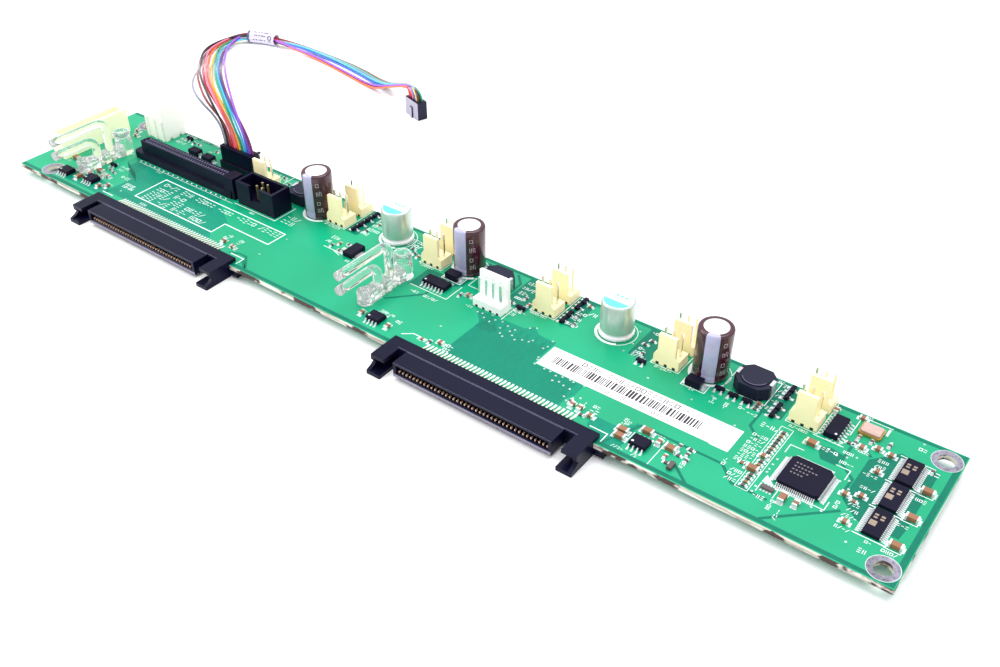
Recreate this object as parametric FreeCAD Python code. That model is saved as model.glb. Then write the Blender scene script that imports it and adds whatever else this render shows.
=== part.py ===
import FreeCAD, Part
import math
import os

Vector = FreeCAD.Vector

# Board: x runs along its length, y from the drive side to the rear edge, z is 0 on its top face
BOARD_LENGTH = 323.2
BOARD_WIDTH = 51.66
BOARD_THICKNESS = 1.6
TAIL_LENGTH = 2.6  # pin tails below the underside; the board lies on them and on the drive guides
FLOOR_Z = -(BOARD_THICKNESS + TAIL_LENGTH)

# Corner screw holes
SCREW_HOLE_RADIUS = 2.3
SCREW_HOLE_LEFT = 13.0
SCREW_HOLE_RIGHT = 4.2
SCREW_HOLE_EDGE = 4.58

# Fits
HOLE_FIT = 0.1  # round a pin in its board hole
PIN_FIT = 0.03  # round a pin in its housing
EDGE_FIT = 0.05  # between the board edge and a drive connector
PLUG_FIT = 0.05  # round the cable plug in its header

# Drive connectors, which straddle the front edge
DRIVE_X = {"left": 76.2, "right": 211.2}
CONTACT_COUNT = 40
CONTACT_PITCH = 1.27
CONTACT_WIDTH = 0.5
CONTACT_THICKNESS = 0.22
CONTACT_SETBACK = 1.3  # from the mouth of the slot
FLANGE_HALF = 34.25
FLANGE_BACK = 2.8
FLANGE_WALL = 1.3
FLANGE_FRONT = -1.4
SHROUD_HALF = 26.4
SHROUD_FRONT = -7.5
SHROUD_TOP = 1.7
SHROUD_BOTTOM = -3.0
SLOT_HALF = 25.4
SLOT_TOP = 0.6
SLOT_BOTTOM = -1.6
SLOT_BACK = -2.3
SLOT_CHAMFER = 0.4
GUIDE_INNER = 29.5
GUIDE_WALL = 1.2
GUIDE_FRONT = -7.8
GUIDE_TIP = -10.0
NOTCH_ROOT = -6.7
FOOT_LENGTH = 3.1
FOOT_DEPTH = 2.9
FOOT_HEIGHT = 2.0
LEAD_REACH = 6.0
LEAD_ROOT = 0.5
LEAD_THICKNESS = 0.24

# Long two-row connector
LONG_X = 29.0
LONG_REAR_MARGIN = 18.16
LONG_BASE = (51.5, 5.6, 2.7)
LONG_BLOCK_LEFT = 4.0  # the base beyond the block, at each end
LONG_BLOCK_RIGHT = 2.9
LONG_BLOCK_SETBACK = 1.1
LONG_BLOCK_DEPTH = 3.8
LONG_TOP = 7.3
LONG_CORNER = 1.0
LONG_END = (4.4, 5.0, 8.0)
GROOVE_END = 0.6
GROOVE = (0.85, 2.8)
GROOVE_ROWS = (0.95, 2.85)

# Wire header and the cable's near plug
WIRE_COUNT = 12
WIRE_PITCH = 1.25
WIRE_PLUG_X = 62.0
WIRE_PLUG_Y = 41.0
WIRE_PLUG = (15.6, 4.0, 8.5)
WIRE_PLUG_TOP = 9.5
WIRE_PORT = (1.05, 1.3, 3.0)
WIRE_CAVITY_WIDTH = 1.4
WIRE_PIN = 0.5
WIRE_PIN_TOP = 4.6
WIRE_TRAY_WALL = 0.6
WIRE_TRAY_FLOOR = 1.0
WIRE_TRAY_TOP = 3.6
WIRE_TAB = (1.1, 0.9, 2.2)

# Box header
BOX_GAP = 3.8  # from the long connector's base
BOX_REAR_MARGIN = 15.86
BOX = (17.4, 8.0, 8.6)
BOX_WALL = 1.0
BOX_FLOOR = 2.4
BOX_KEY_WIDTH = 4.6
BOX_KEY_Z = 3.0
BOX_PIN_TOP = 8.0

# Fan headers
FAN_X = (116.5, 157.2, 199.7, 240.6, 280.8)
FAN_REAR_MARGIN = 0.3
FAN_ROW_GAP = 2.66
FAN_SINGLE_X = 78.7
FAN_SINGLE_MARGIN = 6.16
FAN_PINS = 3
FAN_PITCH = 2.54
FAN_SIDE = 0.1  # plastic beyond the pins' own pitch at each end
FAN_DEPTH = 5.6
FAN_BASE = 3.0
FAN_WALL_TOP = 10.3
FAN_WALL = 1.1
FAN_WALL_LEFT = 1.1
FAN_WALL_RIGHT = 1.2
FAN_FLARE = 1.6
FAN_PIN_Y = 3.3
FAN_PIN_TOP = 10.6
HEADER_PIN = 0.64

# White four-pin header
WHITE_X = 184.3
WHITE_REAR_MARGIN = 17.76
WHITE = (10.3, 5.0, 2.7)
WHITE_PINS = 4
WHITE_WALL = 1.1
WHITE_WALL_TOP = 10.8
WHITE_WALL_Y = 3.5
WHITE_SLOT_X = (2.6, 5.1, 7.6)
WHITE_SLOT = (0.8, 4.5, 4.5)
WHITE_PIN_Y = 1.7
WHITE_PIN_TOP = 9.6

# Pale yellow power header
YELLOW_X = 4.5
YELLOW_Y = 11.4
YELLOW_PINS = 7
YELLOW_PITCH = 3.96
YELLOW_END = 0.45
YELLOW_WIDTH = 6.4
YELLOW_TOP = 9.0
YELLOW_WALL = 1.1
YELLOW_FLOOR = 2.5
YELLOW_PIN = 1.14
YELLOW_PIN_TOP = 8.0

# White two-by-two power header
POWER_X = 18.6
POWER_REAR_MARGIN = 0.06
POWER = (10.6, 9.4, 12.8)
POWER_PITCH = 4.2
POWER_POCKET = 3.3
POWER_POCKET_DEPTH = 9.6
POWER_PIN = 1.07
POWER_PIN_TOP = 10.0
POWER_RIB = (0.8, 0.5, 8.0)
POWER_VENT = (0.9, 1.4, 1.0)

# Light pipes
PIPE_X = {"left": 23.5, "right": 158.0}
PIPE_RADIUS = 1.5
PIPE_SIDES = 8
PIPE_BEND = 3.2
PIPE_ARMS = ((0.5, 14.7, 22.0), (0.3, 9.8, 16.7))  # front end, height of axis, leg
PIPE_BAR_WIDTH = 4.5
PIPE_BAR_HEIGHT = 3.5
PIPE_FOOT_Y = 10.8
PIPE_FOOT_RADIUS = 2.5
PIPE_FOOT_TOP = 4.3
PIPE_POST_Y = 28.0
PIPE_POST_RADIUS = 3.05
PIPE_NECK_RADIUS = 2.4
PIPE_POST_STEPS = (5.6, 6.6, 8.5)
LED = (2.8, 1.6, 1.3)
LED_GAP = 0.3

# Capacitor cans; places marked REAR give the distance from the rear edge
CAN_RADIUS = 5.0
CAN_HEIGHT = 16.0
CAN_REAR = ((111.0, 11.66), (171.8, 8.16), (255.6, 9.06))
POLYMER_HEIGHT = 11.5
POLYMER_BEAD = 0.3
POLYMER_BEAD_HEIGHT = 1.3
POLYMER_SHOULDER = 2.1
POLYMER_REAR = ((142.3, 8.16), (225.4, 8.66))

# Shielded inductors
COIL_HALF = 5.1
COIL_HALF_DEPTH = 4.7
COIL_CORNER = 2.3
COIL_HEIGHT = 4.0
COIL_CORE_RADIUS = 3.9
COIL_CORE_TOP = 4.3
COIL_REAR = ((100.9, 8.36), (184.0, 10.76), (268.2, 7.86))
CLIP_WIDTH = 2.6
CLIP_THICKNESS = 0.25

# Integrated circuits
STANDOFF = 0.1
QUAD = (11.0, 11.0, 1.4)
QUAD_PLACE = (293.4, 19.8)
THIN = (9.4, 4.4, 1.0)
THIN_PLACES = ((313.1, 36.8), (313.0, 26.5), (313.0, 16.1))
SMALL = (8.7, 3.9, 1.5)
SMALL_REAR = ((292.3, 10.06, 90), (169.3, 21.26, 0))
TINY = (4.9, 3.9, 1.5)
TINY_PLACES = ((255.0, 6.5, 0), (166.2, 6.3, 0), (19.4, 6.0, 0), (31.4, 7.6, 0))

# Three-legged packages
TRIPOD = (2.9, 1.3, 1.0)
TRIPOD_NEAR = (28.8, 18.8)
TRIPOD_REAR = (
    (261.1, 14.06),
    (265.2, 14.36),
    (269.3, 14.36),
    (197.0, 16.26),
    (238.2, 16.46),
    (34.9, 3.06),
)
TRIPOD_SIDE_REAR = (
    (276.9, 2.66),
    (276.9, 6.06),
    (276.9, 11.26),
    (276.9, 14.76),
    (127.6, 2.46),
    (127.6, 5.86),
    (127.6, 9.26),
    (127.6, 12.66),
    (210.3, 2.06),
    (210.3, 5.46),
    (210.3, 10.06),
    (210.3, 13.46),
)

# Voltage regulator
REGULATOR = (6.5, 3.6, 1.6)
REGULATOR_REAR = (137.0, 23.26)

# Block diodes
DIODE = (4.4, 3.0, 2.2)
DIODE_END = 0.5
DIODE_REAR = ((171.0, 15.36), (254.6, 16.06), (45.6, 9.46), (53.4, 10.06))

# Oscillator
OSCILLATOR = (6.0, 4.6, 0.9)
OSCILLATOR_REAR = (300.1, 5.96)
OSCILLATOR_RIM = 0.35
OSCILLATOR_LID = 0.5

# Chip capacitors; a True turns the chip across the board
CHIP_LARGE = (3.2, 1.6, 1.2)
CHIP_LARGE_PLACES = (
    (248.9, 8.3, False),
    (249.4, 5.9, False),
    (254.3, 11.6, False),
    (262.1, 9.6, False),
    (281.6, 15.4, False),
    (291.8, 10.6, True),
    (318.9, 33.2, False),
    (318.9, 22.7, False),
    (318.9, 12.2, False),
    (13.6, 14.2, False),
    (25.9, 6.2, True),
    (28.9, 13.2, False),
)
CHIP_LARGE_REAR = ((289.6, 19.06, False),)
CHIP_SMALL = (2.0, 1.25, 0.9)
CHIP_SMALL_PLACES = (
    (258.6, 10.0, True),
    (281.9, 21.1, False),
    (295.1, 10.8, True),
    (303.2, 20.9, False),
    (306.6, 12.4, False),
    (306.6, 22.6, False),
    (306.6, 32.7, False),
    (188.7, 8.6, False),
    (233.0, 8.8, True),
    (235.4, 8.8, True),
    (239.2, 7.9, False),
    (99.0, 8.0, True),
    (104.0, 7.5, False),
    (160.9, 6.0, True),
    (171.4, 5.4, True),
    (27.3, 10.0, False),
    (34.1, 12.4, False),
    (36.8, 6.2, True),
    (39.3, 8.1, True),
)
CHIP_SMALL_REAR = (
    (307.3, 11.46, False),
    (303.8, 11.06, False),
    (300.3, 12.86, False),
    (289.6, 3.46, True),
    (296.4, 2.26, False),
    (180.8, 20.16, False),
    (13.8, 10.26, False),
    (16.4, 13.06, False),
)

# Paper label
LABEL_X = (215.2, 273.9)
LABEL_Y = (17.3, 26.6)
LABEL_STEP_X = 268.7
LABEL_STEP = 0.3
LABEL_THICKNESS = 0.1

# Cable: a loose bundle of thin wires from the near plug, over the rear edge and along the surface
CABLE_RADIUS = 2.0
CABLE_SIDES = 6
CABLE_FLOOR = FLOOR_Z + CABLE_RADIUS
SLEEVE_RADIUS = 2.75
SLEEVE_SIDES = 8
SLEEVE_FIT = 0.2
SLEEVE_HALF_LENGTH = 6.5
SLEEVE_FLOOR = FLOOR_Z + SLEEVE_RADIUS
SLEEVE_MIDDLE = (-18.5, 136.3, SLEEVE_FLOOR)
FAR_PLUG = (9.4, 4.2, 7.2)
FAR_PLUG_PLACE = (83.6, 121.5)
FAR_PLUG_TURN = -18.6
FAR_PLUG_KEY = (1.6, 0.6, 4.4)
PLUG_ENTRY = 0.8  # the route runs this far into the far plug, and the tube is trimmed at the plug's face
ARC_SHARE = 0.45  # of the shorter run beside each bend
CABLE_ROUTE = (
    (69.8, 43.0, WIRE_PLUG_TOP),
    (69.8, 43.0, 17.8),
    (65.2, 43.4, 25.2),
    (57.0, 47.8, 28.5),
    (43.5, 57.2, 26.6),
    (22.2, 74.2, 16.8),
    (-3.5, 92.5, 3.0),
    (-18.5, 103.5, CABLE_FLOOR),
    (-28.5, 112.5, CABLE_FLOOR),
    (-32.0, 122.0, CABLE_FLOOR),
    (-28.5, 131.5, SLEEVE_FLOOR),
    SLEEVE_MIDDLE,
    (-3.0, 139.0, SLEEVE_FLOOR),
    (15.5, 140.5, CABLE_FLOOR),
    (36.0, 137.5, CABLE_FLOOR),
    (54.5, 132.6, CABLE_FLOOR),
    (66.0, 128.3, 3.0),
    (74.4, 125.1, 8.4),
    (81.9, 122.2, 9.8),
    (83.8, 121.4, FLOOR_Z + FAR_PLUG[2] - PLUG_ENTRY),
)


# Solids from boxes and flat outlines
def box(x, y, z, length, depth, height):
    return Part.makeBox(length, depth, height, Vector(x, y, z))


def centred_box(x, y, z, size):
    length, depth, height = size
    return box(x - length / 2, y - depth / 2, z, length, depth, height)


def flat_face(points):
    return Part.Face(Part.makePolygon(points + points[:1]))


def along_x(outline, x, length):
    return flat_face([Vector(x, y, z) for y, z in outline]).extrude(Vector(length, 0, 0))


def along_y(outline, y, depth):
    return flat_face([Vector(x, y, z) for x, z in outline]).extrude(Vector(0, depth, 0))


def along_z(outline, z, height):
    return flat_face([Vector(x, y, z) for x, y in outline]).extrude(Vector(0, 0, height))


def ring_points(count, radius):
    step = 2 * math.pi / count
    return [(radius * math.cos(i * step + step / 2), radius * math.sin(i * step + step / 2)) for i in range(count)]


def turned(outline, x, y):
    solid = flat_face([Vector(r, 0, z) for r, z in outline]).revolve(Vector(), Vector(0, 0, 1), 360)
    solid.translate(Vector(x, y, 0))
    return solid


def joined(shapes):
    return shapes[0].fuse(shapes[1:]).removeSplitter()


def placed(shape, x, y, turn=0):
    moved = shape.copy()
    moved.rotate(Vector(), Vector(0, 0, 1), turn)
    moved.translate(Vector(x, y, 0))
    return moved


def from_rear(places):
    return [(place[0], BOARD_WIDTH - place[1]) + tuple(place[2:]) for place in places]


def spaced(count, pitch):
    return [(i - (count - 1) / 2) * pitch for i in range(count)]


# Pins that pass through a housing and the board
def pin(x, y, top, size):
    return box(x - size / 2, y - size / 2, FLOOR_Z, size, size, top - FLOOR_Z)


def room_round(shape, gap):
    bound = shape.BoundBox
    return box(
        bound.XMin - gap,
        bound.YMin - gap,
        bound.ZMin - gap,
        bound.XLength + 2 * gap,
        bound.YLength + 2 * gap,
        bound.ZLength + 2 * gap,
    )


def with_pin_holes(housing, pins):
    return housing.cut([room_round(each, PIN_FIT) for each in pins])


# The board, with its corner holes and a hole for each pin
def circuit_board(pins):
    board = box(0, 0, -BOARD_THICKNESS, BOARD_LENGTH, BOARD_WIDTH, BOARD_THICKNESS)
    screws = [
        Part.makeCylinder(SCREW_HOLE_RADIUS, 2 * BOARD_THICKNESS, Vector(x, y, -1.5 * BOARD_THICKNESS))
        for x in (SCREW_HOLE_LEFT, BOARD_LENGTH - SCREW_HOLE_RIGHT)
        for y in (SCREW_HOLE_EDGE, BOARD_WIDTH - SCREW_HOLE_EDGE)
    ]
    return board.cut(screws + [room_round(each, HOLE_FIT) for each in pins])


# A drive connector: flanges that grip the board edge, a slotted shroud and two open guides
def drive_guide():
    outer = FLANGE_HALF
    wall_outline = [
        (-EDGE_FIT, FLANGE_WALL),
        (GUIDE_FRONT, FLANGE_WALL),
        (GUIDE_FRONT, -GUIDE_WALL / 2),
        (NOTCH_ROOT, -GUIDE_WALL),
        (GUIDE_FRONT - 0.4, FLOOR_Z + 1.6 * GUIDE_WALL),
        (GUIDE_TIP, FLOOR_Z + GUIDE_WALL),
        (GUIDE_TIP, FLOOR_Z),
        (-EDGE_FIT, FLOOR_Z),
    ]
    wall = along_x(wall_outline, outer - GUIDE_WALL, GUIDE_WALL)
    span = outer - GUIDE_INNER
    top = box(GUIDE_INNER, GUIDE_FRONT, FLANGE_WALL - GUIDE_WALL, span, FLANGE_FRONT - GUIDE_FRONT, GUIDE_WALL)
    floor = box(GUIDE_INNER, GUIDE_TIP, FLOOR_Z, span, -EDGE_FIT - GUIDE_TIP, GUIDE_WALL)
    under = -BOARD_THICKNESS - FLANGE_WALL
    rear = box(GUIDE_INNER, FLANGE_FRONT, FLOOR_Z, span, -EDGE_FIT - FLANGE_FRONT, under - FLOOR_Z)
    foot = box(outer, FLANGE_BACK - FOOT_DEPTH, -BOARD_THICKNESS - FOOT_HEIGHT, FOOT_LENGTH, FOOT_DEPTH, FOOT_HEIGHT)
    return [wall, top, floor, rear, foot]


def drive_housing(x):
    under = -BOARD_THICKNESS
    flange_outline = [
        (FLANGE_FRONT, under - FLANGE_WALL),
        (FLANGE_BACK, under - FLANGE_WALL),
        (FLANGE_BACK, under),
        (-EDGE_FIT, under),
        (-EDGE_FIT, 0),
        (FLANGE_BACK, 0),
        (FLANGE_BACK, FLANGE_WALL),
        (FLANGE_FRONT, FLANGE_WALL),
    ]
    flange = along_x(flange_outline, -FLANGE_HALF, 2 * FLANGE_HALF)
    shroud = box(
        -SHROUD_HALF,
        SHROUD_FRONT,
        SHROUD_BOTTOM,
        2 * SHROUD_HALF,
        FLANGE_FRONT - SHROUD_FRONT,
        SHROUD_TOP - SHROUD_BOTTOM,
    )
    slot_outline = [
        (SHROUD_FRONT, SLOT_BOTTOM - SLOT_CHAMFER),
        (SHROUD_FRONT + SLOT_CHAMFER, SLOT_BOTTOM),
        (SLOT_BACK, SLOT_BOTTOM),
        (SLOT_BACK, SLOT_TOP),
        (SHROUD_FRONT + SLOT_CHAMFER, SLOT_TOP),
        (SHROUD_FRONT, SLOT_TOP + SLOT_CHAMFER),
    ]
    slot = along_x(slot_outline, -SLOT_HALF, 2 * SLOT_HALF)
    right = drive_guide()
    left = [piece.mirror(Vector(), Vector(1, 0, 0)) for piece in right]
    housing = joined([flange, shroud.cut(slot)] + right + left)
    return placed(housing, x, 0)


def drive_contacts(x):
    front = SHROUD_FRONT + CONTACT_SETBACK
    blades = []
    for wall, inward in ((SLOT_BOTTOM, 1), (SLOT_TOP, -1)):
        outline = [(front, wall), (SLOT_BACK, wall), (front, wall + inward * CONTACT_THICKNESS)]
        for offset in spaced(CONTACT_COUNT, CONTACT_PITCH):
            blades.append(along_x(outline, x + offset - CONTACT_WIDTH / 2, CONTACT_WIDTH))
    return blades


def drive_leads(x):
    leads = []
    for face, up in ((0, 1), (-BOARD_THICKNESS, -1)):
        outline = [
            (FLANGE_BACK, face + up * LEAD_ROOT),
            (LEAD_REACH, face),
            (FLANGE_BACK, face + up * (LEAD_ROOT + LEAD_THICKNESS)),
        ]
        for offset in spaced(CONTACT_COUNT, CONTACT_PITCH):
            leads.append(along_x(outline, x + offset - CONTACT_WIDTH / 2, CONTACT_WIDTH))
    return leads


# The long connector: a base ledge, a raised block with a groove for each contact row and an end stop
def long_connector():
    length, depth, height = LONG_BASE
    corner = LONG_CORNER
    y = BOARD_WIDTH - LONG_REAR_MARGIN - depth
    base_outline = [
        (LONG_X + corner, y),
        (LONG_X + length, y),
        (LONG_X + length, y + depth),
        (LONG_X + corner, y + depth),
        (LONG_X, y + depth - corner),
        (LONG_X, y + corner),
    ]
    left, right = LONG_X + LONG_BLOCK_LEFT, LONG_X + length - LONG_BLOCK_RIGHT
    front = y + LONG_BLOCK_SETBACK
    back = front + LONG_BLOCK_DEPTH
    block_outline = [
        (left, front),
        (right, front),
        (right, back),
        (left + corner, back),
        (left, back - corner),
    ]
    block = along_z(block_outline, height, LONG_TOP - height)
    end = box(right, y + (depth - LONG_END[1]) / 2, 0, *LONG_END)
    body = joined([along_z(base_outline, 0, height), block, end])
    middle = (left + right) / 2
    groove_width, groove_depth = GROOVE
    opening = (right - left - 2 * GROOVE_END, groove_width, 2 * groove_depth)
    grooves = [centred_box(middle, front + row, LONG_TOP - groove_depth, opening) for row in GROOVE_ROWS]
    return body.cut(grooves)


# The wire header's tray, its pins and the plug that sits in it
def wire_pin_places():
    middle_x = WIRE_PLUG_X + WIRE_PLUG[0] / 2
    middle_y = WIRE_PLUG_Y + WIRE_PLUG[1] / 2
    return [(middle_x + offset, middle_y) for offset in spaced(WIRE_COUNT, WIRE_PITCH)]


def wire_header_pins():
    size = (WIRE_PIN, WIRE_PIN, WIRE_PIN_TOP - WIRE_TRAY_FLOOR)
    return [centred_box(x, y, WIRE_TRAY_FLOOR, size) for x, y in wire_pin_places()]


def wire_header():
    x, y = WIRE_PLUG_X - PLUG_FIT, WIRE_PLUG_Y - PLUG_FIT
    length, depth = WIRE_PLUG[0] + 2 * PLUG_FIT, WIRE_PLUG[1] + 2 * PLUG_FIT
    wall = WIRE_TRAY_WALL
    tray = box(x - wall, y - wall, 0, length + 2 * wall, depth + 2 * wall, WIRE_TRAY_TOP)
    well = box(x, y, WIRE_TRAY_FLOOR, length, depth, WIRE_TRAY_TOP)
    return tray.cut(well)


def wire_plug():
    length, depth, height = WIRE_PLUG
    bottom = WIRE_PLUG_TOP - height
    body = box(WIRE_PLUG_X, WIRE_PLUG_Y, bottom, length, depth, height)
    back = WIRE_PLUG_Y + depth
    tab_length, tab_depth, tab_height = WIRE_TAB
    tab_outline = [
        (back, WIRE_PLUG_TOP),
        (back + tab_depth, WIRE_PLUG_TOP),
        (back, WIRE_PLUG_TOP - tab_height),
    ]
    tabs = [
        along_x(tab_outline, WIRE_PLUG_X, tab_length),
        along_x(tab_outline, WIRE_PLUG_X + length - tab_length, tab_length),
    ]
    ports = [
        centred_box(x, y, WIRE_PLUG_TOP - WIRE_PORT[2], (WIRE_PORT[0], WIRE_PORT[1], 2 * WIRE_PORT[2]))
        for x, y in wire_pin_places()
    ]
    cavity_length = (WIRE_COUNT - 1) * WIRE_PITCH + WIRE_CAVITY_WIDTH
    cavity_height = WIRE_PIN_TOP - bottom + 2 * PLUG_FIT
    middle_y = WIRE_PLUG_Y + depth / 2
    cavity = box(
        WIRE_PLUG_X + (length - cavity_length) / 2,
        middle_y - WIRE_CAVITY_WIDTH / 2,
        bottom,
        cavity_length,
        WIRE_CAVITY_WIDTH,
        cavity_height,
    )
    return joined([body] + tabs).cut(ports + [cavity])


# The box header: an open box with a key gap in its front wall and four pins in the middle
BOX_X = LONG_X + LONG_BASE[0] + BOX_GAP
BOX_Y = BOARD_WIDTH - BOX_REAR_MARGIN - BOX[1]


def box_header_pins():
    middle_x = BOX_X + BOX[0] / 2
    middle_y = BOX_Y + BOX[1] / 2
    return [
        pin(middle_x + dx, middle_y + dy, BOX_PIN_TOP, HEADER_PIN)
        for dx in spaced(2, FAN_PITCH)
        for dy in spaced(2, FAN_PITCH)
    ]


def box_header(pins):
    length, depth, height = BOX
    wall = BOX_WALL
    shell = box(BOX_X, BOX_Y, 0, length, depth, height)
    well = box(BOX_X + wall, BOX_Y + wall, BOX_FLOOR, length - 2 * wall, depth - 2 * wall, height)
    key = box(BOX_X + (length - BOX_KEY_WIDTH) / 2, BOX_Y - wall, BOX_KEY_Z, BOX_KEY_WIDTH, 2.5 * wall, height)
    return with_pin_holes(shell.cut([well, key]), pins)


# A fan header: base, polarising wall with a flared foot, and three pins
FAN_LENGTH = FAN_PINS * FAN_PITCH + 2 * FAN_SIDE


def fan_pins(x, y):
    middle = x + FAN_LENGTH / 2
    return [pin(middle + offset, y + FAN_PIN_Y, FAN_PIN_TOP, HEADER_PIN) for offset in spaced(FAN_PINS, FAN_PITCH)]


def fan_header(x, y):
    base = box(x, y, 0, FAN_LENGTH, FAN_DEPTH, FAN_BASE)
    left, right = x + FAN_WALL_LEFT, x + FAN_LENGTH - FAN_WALL_RIGHT
    wall_outline = [
        (x, FAN_BASE / 2),
        (x + FAN_LENGTH, FAN_BASE / 2),
        (x + FAN_LENGTH, FAN_BASE),
        (right, FAN_BASE + FAN_FLARE / 2),
        (right, FAN_WALL_TOP),
        (left, FAN_WALL_TOP),
        (left, FAN_BASE + FAN_FLARE),
        (x, FAN_BASE),
    ]
    wall = along_y(wall_outline, y, FAN_WALL)
    return with_pin_holes(joined([base, wall]), fan_pins(x, y))


def fan_header_places():
    rear_y = BOARD_WIDTH - FAN_REAR_MARGIN - FAN_DEPTH
    single = (FAN_SINGLE_X, BOARD_WIDTH - FAN_SINGLE_MARGIN - FAN_DEPTH)
    front_row = [(x, rear_y - FAN_ROW_GAP - FAN_DEPTH) for x in FAN_X]
    rear_row = [(x, rear_y) for x in FAN_X]
    return [single] + front_row + rear_row


# The white header: base, slotted rear wall and four pins
WHITE_Y = BOARD_WIDTH - WHITE_REAR_MARGIN - WHITE[1]


def white_header_pins():
    middle = WHITE_X + WHITE[0] / 2
    return [
        pin(middle + offset, WHITE_Y + WHITE_PIN_Y, WHITE_PIN_TOP, HEADER_PIN)
        for offset in spaced(WHITE_PINS, FAN_PITCH)
    ]


def white_header(pins):
    length, depth, height = WHITE
    base = box(WHITE_X, WHITE_Y, 0, length, depth, height)
    wall_y = WHITE_Y + WHITE_WALL_Y
    wall = box(WHITE_X, wall_y, height, length, WHITE_WALL, WHITE_WALL_TOP - height)
    slot_width, slot_z, slot_height = WHITE_SLOT
    slots = [
        box(WHITE_X + x - slot_width / 2, wall_y - WHITE_WALL, slot_z, slot_width, 3 * WHITE_WALL, slot_height)
        for x in WHITE_SLOT_X
    ]
    return with_pin_holes(joined([base, wall]).cut(slots), pins)


# The pale yellow header: a long open box with one row of thick pins
YELLOW_LENGTH = YELLOW_PINS * YELLOW_PITCH + 2 * YELLOW_END


def yellow_header_pins():
    x = YELLOW_X + YELLOW_WIDTH / 2
    middle = YELLOW_Y + YELLOW_LENGTH / 2
    return [pin(x, middle + offset, YELLOW_PIN_TOP, YELLOW_PIN) for offset in spaced(YELLOW_PINS, YELLOW_PITCH)]


def yellow_header(pins):
    wall = YELLOW_WALL
    shell = box(YELLOW_X, YELLOW_Y, 0, YELLOW_WIDTH, YELLOW_LENGTH, YELLOW_TOP)
    well = box(
        YELLOW_X + wall,
        YELLOW_Y + wall,
        YELLOW_FLOOR,
        YELLOW_WIDTH - 2 * wall,
        YELLOW_LENGTH - 2 * wall,
        YELLOW_TOP,
    )
    return with_pin_holes(shell.cut(well), pins)


# The white power header: a block with four deep pockets, front ribs, side vents and four pins
def power_header_y():
    return BOARD_WIDTH - POWER_REAR_MARGIN - POWER[1]


def power_header_pins():
    middle_x = POWER_X + POWER[0] / 2
    middle_y = power_header_y() + POWER[1] / 2
    return [
        pin(middle_x + dx, middle_y + dy, POWER_PIN_TOP, POWER_PIN)
        for dx in spaced(2, POWER_PITCH)
        for dy in spaced(2, POWER_PITCH)
    ]


def power_header(pins):
    length, depth, height = POWER
    y = power_header_y()
    body = box(POWER_X, y, 0, length, depth, height)
    rib_width, rib_depth, rib_height = POWER_RIB
    middle_x = POWER_X + length / 2
    middle_y = y + depth / 2
    ribs = [
        box(middle_x + offset - rib_width / 2, y - rib_depth, 0, rib_width, rib_depth, rib_height)
        for offset in spaced(3, POWER_PITCH)
    ]
    pocket = (POWER_POCKET, POWER_POCKET, 2 * POWER_POCKET_DEPTH)
    pockets = [
        centred_box(middle_x + dx, middle_y + dy, height - POWER_POCKET_DEPTH, pocket)
        for dx in spaced(2, POWER_PITCH)
        for dy in spaced(2, POWER_PITCH)
    ]
    vent_depth, vent_width, vent_height = POWER_VENT
    vents = [
        box(POWER_X + length - vent_depth, middle_y + dy - vent_width / 2, 0, 2 * vent_depth, vent_width, vent_height)
        for dy in spaced(2, POWER_PITCH)
    ]
    return with_pin_holes(joined([body] + ribs).cut(pockets + vents), pins)


# A light pipe: two bent arms on a bar, with a round foot and a ringed post
def pipe_arm(front, height, leg):
    bend = PIPE_BEND
    start = Vector(0, front, height)
    turn_in = Vector(0, leg - bend, height)
    turn_middle = Vector(0, leg - bend + bend * math.sin(math.pi / 4), height - bend + bend * math.cos(math.pi / 4))
    turn_out = Vector(0, leg, height - bend)
    end = Vector(0, leg, PIPE_BAR_HEIGHT / 2)
    edges = [
        Part.LineSegment(start, turn_in).toShape(),
        Part.Arc(turn_in, turn_middle, turn_out).toShape(),
        Part.LineSegment(turn_out, end).toShape(),
    ]
    return swept(edges, PIPE_RADIUS, PIPE_SIDES)


def pipe_disc(radius, y, bottom, height):
    return placed(along_z(ring_points(2 * PIPE_SIDES, radius), bottom, height), 0, y)


def light_pipe(x):
    arms = [pipe_arm(*arm) for arm in PIPE_ARMS]
    bar = box(
        -PIPE_BAR_WIDTH / 2,
        PIPE_FOOT_Y,
        0,
        PIPE_BAR_WIDTH,
        PIPE_POST_Y - PIPE_FOOT_Y,
        PIPE_BAR_HEIGHT,
    )
    foot = pipe_disc(PIPE_FOOT_RADIUS, PIPE_FOOT_Y, 0, PIPE_FOOT_TOP)
    first, second, top = PIPE_POST_STEPS
    post = [
        pipe_disc(PIPE_POST_RADIUS, PIPE_POST_Y, 0, first),
        pipe_disc(PIPE_NECK_RADIUS, PIPE_POST_Y, first, second - first),
        pipe_disc(PIPE_POST_RADIUS, PIPE_POST_Y, second, top - second),
    ]
    length, depth, height = LED
    windows = [
        box(
            -length / 2 - LED_GAP,
            leg - depth / 2 - LED_GAP,
            -LED_GAP,
            length + PIPE_BAR_WIDTH,
            depth + 2 * LED_GAP,
            height + 2 * LED_GAP,
        )
        for front, arm_height, leg in PIPE_ARMS
    ]
    body = joined([bar, foot] + post + arms).cut(windows)
    return placed(body, x, 0)


def leds():
    offset = PIPE_BAR_WIDTH / 2 - LED[0] / 2 - LED_GAP
    return [centred_box(x + offset, leg, 0, LED) for x in PIPE_X.values() for front, height, leg in PIPE_ARMS]


# Capacitor cans
def electrolytic_can(x, y):
    return Part.makeCylinder(CAN_RADIUS, CAN_HEIGHT, Vector(x, y, 0))


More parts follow.
